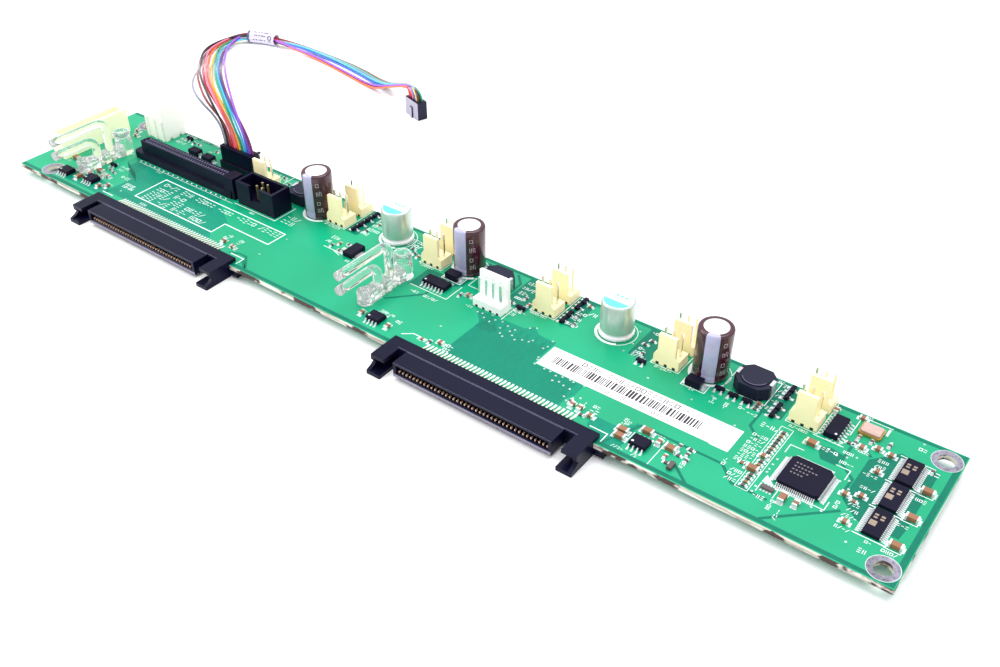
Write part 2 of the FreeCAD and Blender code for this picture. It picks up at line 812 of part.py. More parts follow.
def polymer_can(x, y):
    bead, shoulder, top = POLYMER_BEAD_HEIGHT, POLYMER_SHOULDER, POLYMER_HEIGHT
    outline = [
        (0, 0),
        (CAN_RADIUS + POLYMER_BEAD, 0),
        (CAN_RADIUS + POLYMER_BEAD, bead),
        (CAN_RADIUS, shoulder),
        (CAN_RADIUS, top),
        (0, top),
    ]
    return turned(outline, x, y)


# A shielded inductor with a round core in its top and a clip at each end
def inductor_body(x, y):
    half, deep, corner = COIL_HALF, COIL_HALF_DEPTH, COIL_CORNER
    outline = [
        (half - corner, -deep),
        (half, corner - deep),
        (half, deep - corner),
        (half - corner, deep),
        (corner - half, deep),
        (-half, deep - corner),
        (-half, corner - deep),
        (corner - half, -deep),
    ]
    shell = along_z(outline, CLIP_THICKNESS, COIL_HEIGHT - CLIP_THICKNESS)
    core = Part.makeCylinder(COIL_CORE_RADIUS, COIL_CORE_TOP - CLIP_THICKNESS, Vector(0, 0, CLIP_THICKNESS))
    return placed(joined([shell, core]), x, y)


def inductor_clips(x, y):
    half, thick = COIL_HALF, CLIP_THICKNESS
    outline = [
        (half / 2, 0),
        (half + thick, 0),
        (half + thick, COIL_HEIGHT + thick),
        (half - 0.7, COIL_HEIGHT + thick),
        (half - 0.7, COIL_HEIGHT),
        (half, COIL_HEIGHT),
        (half, thick),
        (half / 2, thick),
    ]
    clip = along_y(outline, -CLIP_WIDTH / 2, CLIP_WIDTH)
    return [placed(clip, x, y, turn) for turn in (0, 180)]


# Moulded packages, drawn about the package's centre
def package_body(size, x, y, turn=0):
    return placed(centred_box(0, 0, STANDOFF, size), x, y, turn)


def tripod_places():
    front = [(x, y, 180) for x, y in [TRIPOD_NEAR] + from_rear(TRIPOD_REAR)]
    side = [(x, y, 90) for x, y in from_rear(TRIPOD_SIDE_REAR)]
    return front + side


# Block diodes with folded end terminals
def diode_body(x, y):
    length, depth, height = DIODE
    return centred_box(x, y, STANDOFF, (length, depth, height - STANDOFF))


def diode_ends(x, y):
    length, depth, height = DIODE
    end = (DIODE_END, depth / 2, height / 2)
    shift = (length + DIODE_END) / 2
    return [centred_box(x - shift, y, 0, end), centred_box(x + shift, y, 0, end)]


# Oscillator: ceramic base and metal lid
def oscillator():
    x, y = from_rear([OSCILLATOR_REAR])[0]
    length, depth, height = OSCILLATOR
    lid = (length - 2 * OSCILLATOR_RIM, depth - 2 * OSCILLATOR_RIM, OSCILLATOR_LID)
    return [centred_box(x, y, 0, OSCILLATOR), centred_box(x, y, height, lid)]


def chips(size, places):
    length, depth, height = size
    across = (depth, length, height)
    return [centred_box(x, y, 0, across if turn else size) for x, y, turn in places]


def label():
    left, right = LABEL_X
    front, back = LABEL_Y
    outline = [
        (left, front + LABEL_STEP),
        (LABEL_STEP_X, front + LABEL_STEP),
        (LABEL_STEP_X, front),
        (right, front),
        (right, back),
        (left, back),
    ]
    return along_z(outline, 0, LABEL_THICKNESS)


# The cable: straight runs joined by tangent arcs
def bend_points(before, corner, after):
    into = (corner - before).normalize()
    out = (after - corner).normalize()
    reach = ARC_SHARE * min((corner - before).Length, (after - corner).Length)
    half_turn = into.getAngle(out) / 2
    radius = reach / math.tan(half_turn)
    first = corner - into * reach
    last = corner + out * reach
    middle_line = (out - into).normalize()
    middle = corner + middle_line * (radius / math.cos(half_turn) - radius)
    return first, middle, last, radius


def cable_edges(points):
    edges = []
    radii = []
    start = points[0]
    for before, corner, after in zip(points, points[1:], points[2:]):
        first, middle, last, radius = bend_points(before, corner, after)
        edges.append(Part.LineSegment(start, first).toShape())
        edges.append(Part.Arc(first, middle, last).toShape())
        radii.append(radius)
        start = last
    edges.append(Part.LineSegment(start, points[-1]).toShape())
    return edges, radii


def swept(edges, radius, sides):
    path = Part.Wire(edges)
    first = edges[0]
    start = first.valueAt(first.FirstParameter)
    turn = FreeCAD.Rotation(Vector(0, 0, 1), first.tangentAt(first.FirstParameter))
    corners = [start + turn.multVec(Vector(x, y, 0)) for x, y in ring_points(sides, radius)]
    section = Part.makePolygon(corners + corners[:1])
    return path.makePipeShell([section], True, False)


def cable():
    edges, radii = cable_edges([Vector(*point) for point in CABLE_ROUTE])
    tube = swept(edges, CABLE_RADIUS, CABLE_SIDES)
    length = sum(edge.Length for edge in edges)
    area = CABLE_SIDES / 2 * CABLE_RADIUS**2 * math.sin(2 * math.pi / CABLE_SIDES)
    print("cable bend radii", [round(radius, 1) for radius in radii])
    print("cable length", round(length, 1), "section times length", round(area * length, 1))
    print("cable volume", round(tube.Volume, 1))
    return tube.cut(far_plug())


def cable_sleeve():
    place = CABLE_ROUTE.index(SLEEVE_MIDDLE)
    before, corner, after = [Vector(*point) for point in CABLE_ROUTE[place - 1 : place + 2]]
    first, middle, last, radius = bend_points(before, corner, after)
    into = (corner - before).normalize()
    out = (after - corner).normalize()
    straight = SLEEVE_HALF_LENGTH - (corner - first).Length
    edges = [
        Part.LineSegment(first - into * straight, first).toShape(),
        Part.Arc(first, middle, last).toShape(),
        Part.LineSegment(last, last + out * straight).toShape(),
    ]
    outer = swept(edges, SLEEVE_RADIUS, SLEEVE_SIDES)
    return outer.cut(swept(edges, CABLE_RADIUS + SLEEVE_FIT, SLEEVE_SIDES))


def far_plug():
    body = centred_box(0, 0, FLOOR_Z, FAR_PLUG)
    key_width, key_depth, key_height = FAR_PLUG_KEY
    key = centred_box(0, -(FAR_PLUG[1] + key_depth) / 2, FLOOR_Z, (key_width, key_depth, key_height))
    return placed(joined([body, key]), *FAR_PLUG_PLACE, FAR_PLUG_TURN)


# Every node with its solids, in board coordinates
def build():
    wire_pins = wire_header_pins()
    box_pins = box_header_pins()
    white_pins = white_header_pins()
    yellow_pins = yellow_header_pins()
    power_pins = power_header_pins()
    fans = fan_header_places()
    all_fan_pins = [each for place in fans for each in fan_pins(*place)]
    through_hole = box_pins + white_pins + yellow_pins + power_pins + all_fan_pins

    nodes = {"circuit_board": [circuit_board(through_hole)]}
    for side, x in DRIVE_X.items():
        nodes[f"drive_connector_{side}"] = [drive_housing(x)]
        nodes[f"drive_contacts_{side}"] = drive_contacts(x)
        nodes[f"drive_leads_{side}"] = drive_leads(x)
    nodes["long_connector"] = [long_connector()]
    nodes["wire_header"] = [wire_header()]
    nodes["wire_plug"] = [wire_plug()]
    nodes["box_header"] = [box_header(box_pins)]
    nodes["signal_pins"] = wire_pins + box_pins + white_pins
    for number, place in enumerate(fans, 1):
        nodes[f"fan_header_{number:02d}"] = [fan_header(*place)]
    nodes["fan_pins"] = all_fan_pins
    nodes["white_header"] = [white_header(white_pins)]
    nodes["yellow_power_header"] = [yellow_header(yellow_pins)]
    nodes["white_power_header"] = [power_header(power_pins)]
    nodes["power_pins"] = yellow_pins + power_pins
    for side, x in PIPE_X.items():
        nodes[f"light_pipe_{side}"] = [light_pipe(x)]
    nodes["indicator_leds"] = leds()
    for number, place in enumerate(from_rear(CAN_REAR), 1):
        nodes[f"electrolytic_can_{number}"] = [electrolytic_can(*place)]
    for number, place in enumerate(from_rear(POLYMER_REAR), 1):
        nodes[f"polymer_can_{number}"] = [polymer_can(*place)]
    coils = from_rear(COIL_REAR)
    for number, place in enumerate(coils, 1):
        nodes[f"inductor_{number}"] = [inductor_body(*place)]
    nodes["inductor_clips"] = [each for place in coils for each in inductor_clips(*place)]
    nodes["controller_body"] = [package_body(QUAD, *QUAD_PLACE)]
    for number, place in enumerate(THIN_PLACES, 1):
        nodes[f"bus_driver_{number}"] = [package_body(THIN, *place, 90)]
    nodes["logic_bodies"] = [package_body(SMALL, *place) for place in from_rear(SMALL_REAR)]
    nodes["logic_bodies"] += [package_body(TINY, *place) for place in TINY_PLACES]
    nodes["transistor_bodies"] = [package_body(TRIPOD, *place) for place in tripod_places()]
    nodes["regulator_body"] = [package_body(REGULATOR, *from_rear([REGULATOR_REAR])[0], 90)]
    diodes = from_rear(DIODE_REAR)
    nodes["diode_bodies"] = [diode_body(*place) for place in diodes]
    nodes["diode_ends"] = [each for place in diodes for each in diode_ends(*place)]
    nodes["oscillator"] = oscillator()
    nodes["chip_capacitors"] = chips(CHIP_LARGE, list(CHIP_LARGE_PLACES) + from_rear(CHIP_LARGE_REAR))
    nodes["chip_capacitors"] += chips(CHIP_SMALL, list(CHIP_SMALL_PLACES) + from_rear(CHIP_SMALL_REAR))
    nodes["paper_label"] = [label()]
    nodes["cable_wires"] = [cable()]
    nodes["cable_sleeve"] = [cable_sleeve()]
    nodes["cable_far_plug"] = [far_plug()]
    return nodes


# The origin is the middle of the board's box on the surface that it lies on
def save(name, solids):
    shape = Part.makeCompound(solids) if len(solids) > 1 else solids[0].copy()
    shape.translate(Vector(-BOARD_LENGTH / 2, -(BOARD_WIDTH + GUIDE_TIP) / 2, -FLOOR_Z))
    shape.exportStep(f"parts/{name}.step")


def main():
    os.makedirs("parts", exist_ok=True)
    for name, solids in build().items():
        for number, solid in enumerate(solids):
            if not solid.isValid() or solid.Volume <= 0 or len(solid.Solids) != 1:
                print("check", name, number, solid.isValid(), solid.Volume, len(solid.Solids))
        save(name, solids)


main()
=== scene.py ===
import math
import random

import bpy
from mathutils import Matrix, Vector


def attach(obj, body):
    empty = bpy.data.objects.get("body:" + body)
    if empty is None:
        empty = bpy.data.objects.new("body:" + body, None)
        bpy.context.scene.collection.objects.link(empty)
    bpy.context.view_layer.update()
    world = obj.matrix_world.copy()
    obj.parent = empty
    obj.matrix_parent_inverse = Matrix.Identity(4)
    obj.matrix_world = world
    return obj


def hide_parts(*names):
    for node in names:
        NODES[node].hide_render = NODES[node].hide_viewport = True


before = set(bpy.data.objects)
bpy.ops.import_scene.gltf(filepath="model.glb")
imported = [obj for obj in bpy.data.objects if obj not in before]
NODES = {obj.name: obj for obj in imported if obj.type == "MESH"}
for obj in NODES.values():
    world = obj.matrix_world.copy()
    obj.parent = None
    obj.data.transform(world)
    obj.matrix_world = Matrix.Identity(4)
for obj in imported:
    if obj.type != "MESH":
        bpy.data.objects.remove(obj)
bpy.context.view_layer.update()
MM = 0.001
ORIGIN = Vector((-161.6, -20.83, 4.2))  # the board's front left top corner is at minus this
FLOOR = -4.2


def at(x, y, z=0.0):
    return (Vector((x, y, z)) + ORIGIN) * MM


# Camera
view_data = bpy.data.cameras.new("view")
view_data.lens = 38.77
view_data.sensor_width = 36
view_data.clip_start = 0.01
view_data.clip_end = 20
view = bpy.data.objects.new("view", view_data)
view.location = at(345.8, -173.5, 186.8)
view.rotation_euler = Vector((-0.4763, 0.6364, -0.6067)).to_track_quat("-Z", "Y").to_euler()
bpy.context.scene.collection.objects.link(view)
scene = bpy.context.scene
scene.camera = view


# Colours are given as they look on a screen, from 0 to 255
def linear(color):
    def one(c):
        c /= 255
        return c / 12.92 if c <= 0.04045 else ((c + 0.055) / 1.055) ** 2.4

    return (*map(one, color), 1.0)


def scaled(color, factor):
    return tuple(min(255.0, c * factor) for c in color)


# Materials
class Shader:
    """A Principled material whose patterns lie in the object's own coordinates."""

    def __init__(self, name):
        self.material = bpy.data.materials.new(name)
        self.material.use_nodes = True
        self.tree = self.material.node_tree
        self.body = self.tree.nodes["Principled BSDF"].inputs
        self.place = self.node("ShaderNodeTexCoord").outputs["Object"]

    def feed(self, socket, value):
        if isinstance(value, bpy.types.NodeSocket):
            self.tree.links.new(value, socket)
        else:
            socket.default_value = value

    def node(self, kind, inputs=None, **settings):
        node = self.tree.nodes.new(kind)
        for key, value in settings.items():
            setattr(node, key, value)
        for key, value in (inputs or {}).items():
            self.feed(node.inputs[key], value)
        return node

    def put(self, values):
        for key, value in values.items():
            self.feed(self.body[key], value)

    def noise(self, scale, detail=3, stretch=None):
        place = self.place
        if stretch:
            place = self.node("ShaderNodeMapping", {"Vector": place, "Scale": stretch}).outputs[0]
        inputs = {"Vector": place, "Scale": scale, "Detail": detail}
        return self.node("ShaderNodeTexNoise", inputs).outputs["Fac"]

    def ramp(self, factor, stops):
        node = self.node("ShaderNodeValToRGB", {"Fac": factor})
        elements = node.color_ramp.elements
        while len(elements) < len(stops):
            elements.new(0.5)
        for element, (position, color) in zip(elements, stops):
            element.position = position
            element.color = color
        return node.outputs["Color"]

    def tones(self, factor, first, second):
        return self.ramp(factor, [(0.3, linear(first)), (0.7, linear(second))])

    def mix(self, factor, a, b):
        return self.node("ShaderNodeMix", {0: factor, 6: a, 7: b}, data_type="RGBA").outputs[2]

    def math(self, operation, a, b=0.0):
        return self.node("ShaderNodeMath", {0: a, 1: b}, operation=operation).outputs[0]

    def between(self, factor, low, high):
        inputs = {"Value": factor, "To Min": low, "To Max": high}
        return self.node("ShaderNodeMapRange", inputs).outputs[0]

    def geometry(self, name):
        return self.node("ShaderNodeNewGeometry").outputs[name]

    def part(self, vector, axis):
        return self.node("ShaderNodeSeparateXYZ", {0: vector}).outputs[axis]

    def cover(self, factor, color):
        base = self.body["Base Color"].links[0].from_socket
        self.put({"Base Color": self.mix(factor, base, linear(color))})

    def relief(self, height, strength, depth, edge=0.0):
        inputs = {"Height": height, "Strength": strength, "Distance": depth * MM}
        if edge:
            bevel = self.node("ShaderNodeBevel", {"Radius": edge * MM}, samples=4)
            inputs["Normal"] = bevel.outputs[0]
        self.put({"Normal": self.node("ShaderNodeBump", inputs).outputs[0]})


CLOUDS = 120  # scale of the broad pattern in every plain surface
GRAIN_DEPTH = 0.05
MATT = 0.4  # surfaces with less gloss than this have bluish highlights
MATT_TINT = (0.78, 0.8, 1.0, 1.0)


def surface(name, color, rough, spread=0.1, grain=3000, relief=0.1, edge=0.0, gloss=0.5, glow=0.0, **more):
    """Two tones of one colour with a fine grain, and edges that look rounded by this many millimetres."""
    shader = Shader(name)
    fine = shader.noise(grain)
    broad = shader.noise(CLOUDS, 4)
    both = shader.math("ADD", shader.math("MULTIPLY", fine, 0.5), shader.math("MULTIPLY", broad, 0.5))
    tone = shader.tones(both, scaled(color, 1 - spread), scaled(color, 1 + spread))
    shader.put({"Base Color": tone, "Roughness": shader.between(fine, rough * 0.85, rough * 1.2)})
    shader.put({"Metallic": more.get("metallic", 0.0), "Coat Weight": more.get("coat", 0.0)})
    shader.put({"Specular IOR Level": gloss})
    if gloss < MATT:
        shader.put({"Specular Tint": MATT_TINT})
    # Painted glow: the colour also gives off light, standing in for light that passes through pale plastic
    if glow:
        shader.put({"Emission Color": tone, "Emission Strength": glow})
    shader.relief(fine, relief, GRAIN_DEPTH, edge)
    return shader


def plastic(*values, **more):
    return surface(*values, **more).material


def clear_plastic(name):
    """Clear in the middle and milky towards its outline; the milky white is a painted highlight set by the
    facing angle, and a faint emission is a painted glow.
    """
    shader = Shader(name)
    broad = shader.noise(90, 2)
    # Painted highlight: less see-through, so whiter, the more the surface turns away from the view
    facing = shader.node("ShaderNodeLayerWeight", {"Blend": 0.5}).outputs["Facing"]
    edge = shader.math("ADD", facing, shader.math("MULTIPLY", broad, 0.1))
    steps = [(place, (clear, clear, clear, 1)) for place, clear in ((0.3, 0.96), (0.6, 0.9), (0.95, 0.6))]
    shader.put({
        "Transmission Weight": shader.ramp(edge, steps),
        "Base Color": shader.tones(broad, (250, 253, 252), (255, 255, 255)),
        "Roughness": shader.between(broad, 0.0, 0.03),
        "IOR": 1.42,
        # Painted glow: the clear moulding gives off a little light though it is no lamp
        "Emission Color": (0.95, 1.0, 0.98, 1.0),
        "Emission Strength": 0.035,
    })
    shader.relief(broad, 0.05, 0.1)
    return shader.material


def lit_side_plastic(name, dark, pale, way):
    """Dark plastic with one paler side that faces the given way: painted light, the lit side painted into
    the colour.
    """
    shader = surface(name, dark, 0.4, 0.12, relief=0.2, edge=0.12, gloss=0.3)
    normal = {0: shader.geometry("Normal"), 1: way}
    facing = shader.node("ShaderNodeVectorMath", normal, operation="DOT_PRODUCT")
    step = {"Value": facing.outputs["Value"], "From Min": 0.5, "From Max": 0.9}
    shader.cover(shader.node("ShaderNodeMapRange", step).outputs[0], pale)
    return shader.material


def pins_by_place(name, split):
    """Gilt pins, and tinned ones to the right of the split."""
    shader = surface(name, (214, 190, 140), 0.28, 0.12, edge=0.05, metallic=0.9)
    place = shader.part(shader.geometry("Position"), "X")
    shader.cover(shader.math("GREATER_THAN", place, split), (244, 246, 244))
    return shader.material


def board_material():
    """Green mask on the board's two faces, and a cut edge of layered glass cloth with random dark blotches.
    """
    shader = Shader("board")
    fine = shader.noise(1400)
    green = shader.tones(shader.noise(28), (2, 152, 108), (6, 168, 124))
    green = shader.mix(shader.math("MULTIPLY", fine, 0.25), green, linear((0, 134, 92)))
    weave = shader.noise(700, 3, (0.12, 0.12, 1.6))
    layers = ((0.3, (140, 128, 116)), (0.45, (206, 200, 186)), (0.7, (240, 238, 230)))
    cream = shader.ramp(weave, [(place, linear(color)) for place, color in layers])
    blotch = shader.ramp(shader.noise(330, 5, (0.5, 0.5, 1.0)), [(0.5, (0, 0, 0, 1)), (0.56, (1, 1, 1, 1))])
    cream = shader.mix(blotch, cream, linear((74, 58, 56)))
    upright = shader.math("ABSOLUTE", shader.part(shader.geometry("Normal"), "Z"))
    flat = shader.math("GREATER_THAN", upright, 0.5)
    shader.put({"Base Color": shader.mix(flat, cream, green), "Roughness": shader.between(flat, 0.75, 0.3)})
    shader.put({"Specular IOR Level": 0.35})
    shader.relief(fine, 0.06, 0.03)
    return shader.material


BLACK = plastic(
    "black_plastic", (9, 9, 34), 0.34, spread=0.16, grain=3200, relief=0.2, edge=0.15, gloss=0.16
)
CHIP = plastic(
    "chip_plastic", (16, 13, 34), 0.5, spread=0.16, grain=4200, relief=0.25, edge=0.08, gloss=0.14
)
# The pale header plastics below glow with painted light
CREAM = plastic("cream_plastic", (255, 236, 188), 0.5, spread=0.02, grain=1800, edge=0.12, glow=0.14)
YELLOW = plastic("yellow_plastic", (254, 255, 212), 0.5, spread=0.02, grain=1800, edge=0.12, glow=0.16)
WHITE = plastic("white_plastic", (253, 253, 250), 0.4, spread=0.02, grain=1800, edge=0.12, glow=0.1)
IVORY = plastic("ivory_plastic", (255, 250, 240), 0.5, spread=0.03, grain=1800, edge=0.12, glow=0.14)
# Gilt contacts painted near black: painted shade of the slot they sit in
CONTACT_SHADE = plastic("contact_metal", (60, 42, 38), 0.35, edge=0.04, metallic=0.7)
BRASS_PIN = pins_by_place("signal_pin", 0.0)
PALE_PIN = plastic("pale_pin", (232, 226, 214), 0.25, edge=0.05, metallic=0.9)
TIN = plastic("tin", (214, 216, 220), 0.3, spread=0.12, grain=5000, relief=0.3, edge=0.05, metallic=0.85)
PAPER = plastic("paper", (250, 250, 252), 0.6, spread=0.02, relief=0.15, edge=0.02)
SILK = plastic("silk_white", (236, 248, 242), 0.6, spread=0.05)
TAN = plastic("chip_ceramic", (142, 96, 66), 0.45, spread=0.12, grain=5000, relief=0.2, edge=0.06)
FERRITE = plastic(
    "ferrite", (24, 26, 46), 0.45, spread=0.12, grain=3500, relief=0.4, edge=0.15, gloss=0.25
)
LAMP = plastic("lamp_body", (238, 240, 226), 0.3, spread=0.04, grain=2500, edge=0.08)
SHRINK = plastic("shrink_white", (208, 204, 224), 0.45, spread=0.03, grain=2500, relief=0.2, edge=0.05)
CLEAR = clear_plastic("clear_plastic")
BOARD = board_material()


def paint(material, *names):
    for name in names:
        node = NODES[name]
        node.data.materials.clear()
        node.data.materials.append(material)


# Cable: twelve wires that fan out of the near plug, pass the sleeve and enter the far plug.
# The points repeat the route of the part's source, in board millimetres.
CABLE_FLOOR = FLOOR + 2.0
SLEEVE_FLOOR = FLOOR + 2.75
ROUTE = (
    (69.8, 43.0, 9.5), (69.8, 43.0, 17.8), (65.2, 43.4, 25.2), (57.0, 47.8, 28.5), (43.5, 57.2, 26.6),
    (22.2, 74.2, 16.8), (-3.5, 92.5, 3.0), (-18.5, 103.5, CABLE_FLOOR), (-28.5, 112.5, CABLE_FLOOR),
    (-32.0, 122.0, CABLE_FLOOR), (-28.5, 131.5, SLEEVE_FLOOR), (-18.5, 136.3, SLEEVE_FLOOR),
    (-3.0, 139.0, SLEEVE_FLOOR), (15.5, 140.5, CABLE_FLOOR), (36.0, 137.5, CABLE_FLOOR),
    (54.5, 132.6, CABLE_FLOOR), (65.6, 128.4, 1.6), (74.4, 125.1, 5.2), (81.4, 122.4, 6.6),
    (83.8, 121.4, 2.2),
)
SLEEVE_MIDDLE = Vector(ROUTE[11])
WIRE_RADIUS = 0.42
WIRE_LAYER = 0.9  # between wires that lie on each other
PORT_PITCH = 1.25
PORT_DEPTH = 2.4
FAR_PLUG = Vector((83.6, 121.5, FLOOR + 7.2))
FAR_PITCH = 1.35
FAR_ROW = 0.75  # of each row of wires from the plug's middle line
FAR_TURN = math.radians(-18.6)
FAR_LONG = Vector((math.cos(FAR_TURN), math.sin(FAR_TURN), 0))
FAR_SHORT = Vector((-math.sin(FAR_TURN), math.cos(FAR_TURN), 0))
# Colour, then how far each wire lies to the side of the route, at points 1 to 9 and at points 12 to 18
WIRES = (
    ((150, 154, 168), (-9.5, -10.4, -8.8, -6.5, -5.5, -5.0, -3.8, -2.6, -1.2),
     (-0.6, -0.8, -1.2, -0.9, -0.6, -0.4, -0.3)),
    ((50, 40, 52), (-6.2, -5.0, -4.8, -4.4, -4.6, -4.3, -3.4, -2.7, -1.2),
     (-1.2, -1.3, -2.8, -3.0, -2.0, -1.7, -1.4)),
    ((146, 70, 66), (-5.6, -7.4, -6.0, -5.3, -5.2, -4.8, -4.2, -3.1, -1.4),
     (-1.1, -1.2, -2.4, -2.6, -1.8, -1.5, -1.2)),
    ((214, 34, 44), (-4.4, -3.6, -3.9, -3.2, -3.6, -3.2, -2.2, -1.6, -0.6),
     (2.4, 3.3, 4.2, 3.1, 1.4, 1.1, 0.8)),
    ((240, 120, 150), (-3.5, -2.9, -3.2, -2.4, -2.6, -2.2, -1.4, -0.4, 0.6),
     (2.2, 3.1, 4.0, 2.8, 1.2, 1.0, 0.7)),
    ((244, 112, 60), (-2.5, -2.2, -2.4, -1.6, -1.5, -1.2, -0.2, 0.6, 0.2),
     (2.7, 3.9, 5.0, 4.3, 2.0, 1.4, 1.0)),
    ((246, 200, 60), (-1.5, -1.1, -1.4, -0.4, -0.7, -0.4, 1.2, 2.2, 2.0),
     (-1.0, -1.1, -2.0, -2.1, -1.5, -1.2, -1.0)),
    ((20, 150, 120), (-0.2, 0.5, 0.2, 1.1, 0.8, 1.2, 3.0, 3.6, 3.4),
     (-0.9, -1.3, -1.8, -1.6, -1.6, -1.8, -1.5)),
    ((80, 200, 226), (1.1, 1.1, 1.0, 1.6, 1.4, 1.9, 3.6, 4.4, 4.0),
     (-0.2, -0.1, 0.1, 0.0, -0.6, -0.9, -0.8)),
    ((60, 112, 220), (2.4, 1.9, 1.8, 2.2, 2.1, 2.6, 4.4, 5.2, 4.6),
     (0.2, 0.3, 0.6, 0.4, -0.1, -0.3, -0.3)),
    ((150, 84, 214), (4.0, 3.8, 3.8, 4.6, 4.8, 5.2, 6.9, 7.4, 6.2),
     (2.8, 3.6, 4.6, 3.5, 1.8, 1.3, 0.9)),
    ((112, 30, 92), (4.7, 2.7, 2.3, 3.0, 3.1, 3.6, 5.4, 6.0, 5.4), (2.6, 3.3, 3.9, 3.2, 1.6, 1.2, 0.8)),
)
COUNT = len(WIRES)
LAYERS = (1, 0, 1, 0, 0, 0, 0, 1, 1, 0, 1, 0)  # of each wire after the sleeve
SIDES = {1: Vector((1, 0, 0)), 2: Vector((0.95, 0.3, 0)), 3: Vector((0.8, 0.6, 0))}
ARCHED = (3, 4, 5, 6)  # points of the route where the bundle arches above the table
LYING = (7, 8, 9, 13, 14, 15)  # points where each wire lies on the table
IN_SLEEVE = (10, 11)  # points where nine wires ring the other three


def in_sleeve(number, side, up):
    outer = 9
    if number < outer:
        angle, reach = number * math.tau / outer, 1.4
    else:
        angle, reach = number * math.tau / (COUNT - outer), 0.5
    return side * reach * math.cos(angle) + up * reach * math.sin(angle)


def wire_offset(number, index, side, up):
    if index in IN_SLEEVE:
        return in_sleeve(number, side, up)
    before, after = WIRES[number][1:]
    if index < IN_SLEEVE[0]:
        across, layer = before[index - 1], number * 5 % 3
    else:
        across, layer = after[index - IN_SLEEVE[1] - 1], LAYERS[number]
    if index in LYING:
        lift = FLOOR + WIRE_RADIUS - ROUTE[index][2] + layer * WIRE_LAYER
    else:
        lift = (layer - 1) * (WIRE_LAYER if index in ARCHED else 0.5)
    return side * across + up * lift


def near_port(number):
    return Vector(ROUTE[0]) + Vector(((number - (COUNT - 1) / 2) * PORT_PITCH, 0, 0))


def far_port(number):
    rank = sorted(range(COUNT), key=lambda k: -WIRES[k][2][-1]).index(number)
    along = (rank // 2 - (COUNT / 2 - 1) / 2) * FAR_PITCH
    return FAR_PLUG + FAR_LONG * along + FAR_SHORT * (FAR_ROW if rank % 2 else -FAR_ROW)


def wire_points(number):
    start, end = near_port(number), far_port(number)
    points = [start - Vector((0, 0, PORT_DEPTH)), start + Vector((0, 0, 2.2))]
    for index in range(1, len(ROUTE) - 2):
        along = (Vector(ROUTE[index + 1]) - Vector(ROUTE[index - 1])).normalized()
        side = SIDES.get(index, Vector((along.y, -along.x, 0)).normalized())
        up = side.cross(along).normalized()
        points.append(Vector(ROUTE[index]) + wire_offset(number, index, side, up))
    return points + [end + Vector((0, 0, 4.0)), end - Vector((0, 0, 0.8))]


def wire_piece(number):
    curve = bpy.data.curves.new(f"wire_{number + 1:02d}", "CURVE")
    curve.dimensions = "3D"
    curve.resolution_u = 10
    curve.bevel_depth = WIRE_RADIUS * MM
    curve.bevel_resolution = 2
    curve.use_fill_caps = True
    spline = curve.splines.new("NURBS")
    points = wire_points(number)
    spline.points.add(len(points) - 1)
    for point, place in zip(spline.points, points):
        point.co = (*at(*place), 1.0)
    spline.order_u = 3
    spline.use_endpoint_u = True
    color = WIRES[number][0]
    curve.materials.append(plastic(f"wire_skin_{number + 1:02d}", color, 0.38, spread=0.05, coat=0.2))
    piece = bpy.data.objects.new(curve.name, curve)
    scene.collection.objects.link(piece)
    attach(piece, "root")
    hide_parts("cable_wires")


for wire in range(COUNT):
    wire_piece(wire)


# CAD nodes that keep their shape
DRIVE_BLACKS = ("drive_connector_left", "drive_connector_right", "long_connector")
LEAD_BRIGHT = plastic(
    "lead_bright", (242, 238, 226), 0.35, spread=0.06, grain=4000, relief=0.2, edge=0.03, metallic=0.3
)
paint(BOARD, "circuit_board")
paint(BLACK, *DRIVE_BLACKS, "wire_header", "wire_plug", "box_header")
# The far plug's side that faces -FAR_SHORT is painted paler: painted light on its lit side
paint(lit_side_plastic("plug_plastic", (14, 14, 38), (168, 164, 182), -FAR_SHORT), "cable_far_plug")
paint(CONTACT_SHADE, "drive_contacts_left", "drive_contacts_right")
paint(LEAD_BRIGHT, "drive_leads_left", "drive_leads_right")
paint(TIN, "inductor_clips", "diode_ends")
paint(CREAM, *(name for name in NODES if name.startswith("fan_header")))
paint(YELLOW, "yellow_power_header")
paint(WHITE, "white_header")
paint(IVORY, "white_power_header")
paint(PALE_PIN, "fan_pins", "power_pins")
paint(BRASS_PIN, "signal_pins")
paint(LAMP, "indicator_leds")
paint(FERRITE, "inductor_1", "inductor_2", "inductor_3")
paint(CHIP, "regulator_body", "diode_bodies")
paint(TAN, "chip_capacitors")
paint(PAPER, "paper_label")
paint(SHRINK, "cable_sleeve")


# Mesh helpers: every piece is drawn in board millimetres
def spin(x, y, turn, dx, dy):
    """The point that lies dx, dy from x, y once the offset is turned by this many degrees."""
    c, s = math.cos(math.radians(turn)), math.sin(math.radians(turn))
    return (x + dx * c - dy * s, y + dx * s + dy * c)


def ring(radius, z, count, x, y):
    angles = [math.tau * i / count for i in range(count)]
    return [(x + radius * math.cos(angle), y + radius * math.sin(angle), z) for angle in angles]


def spaced(centre, count, pitch):
    return [centre + (k - (count - 1) / 2) * pitch for k in range(count)]


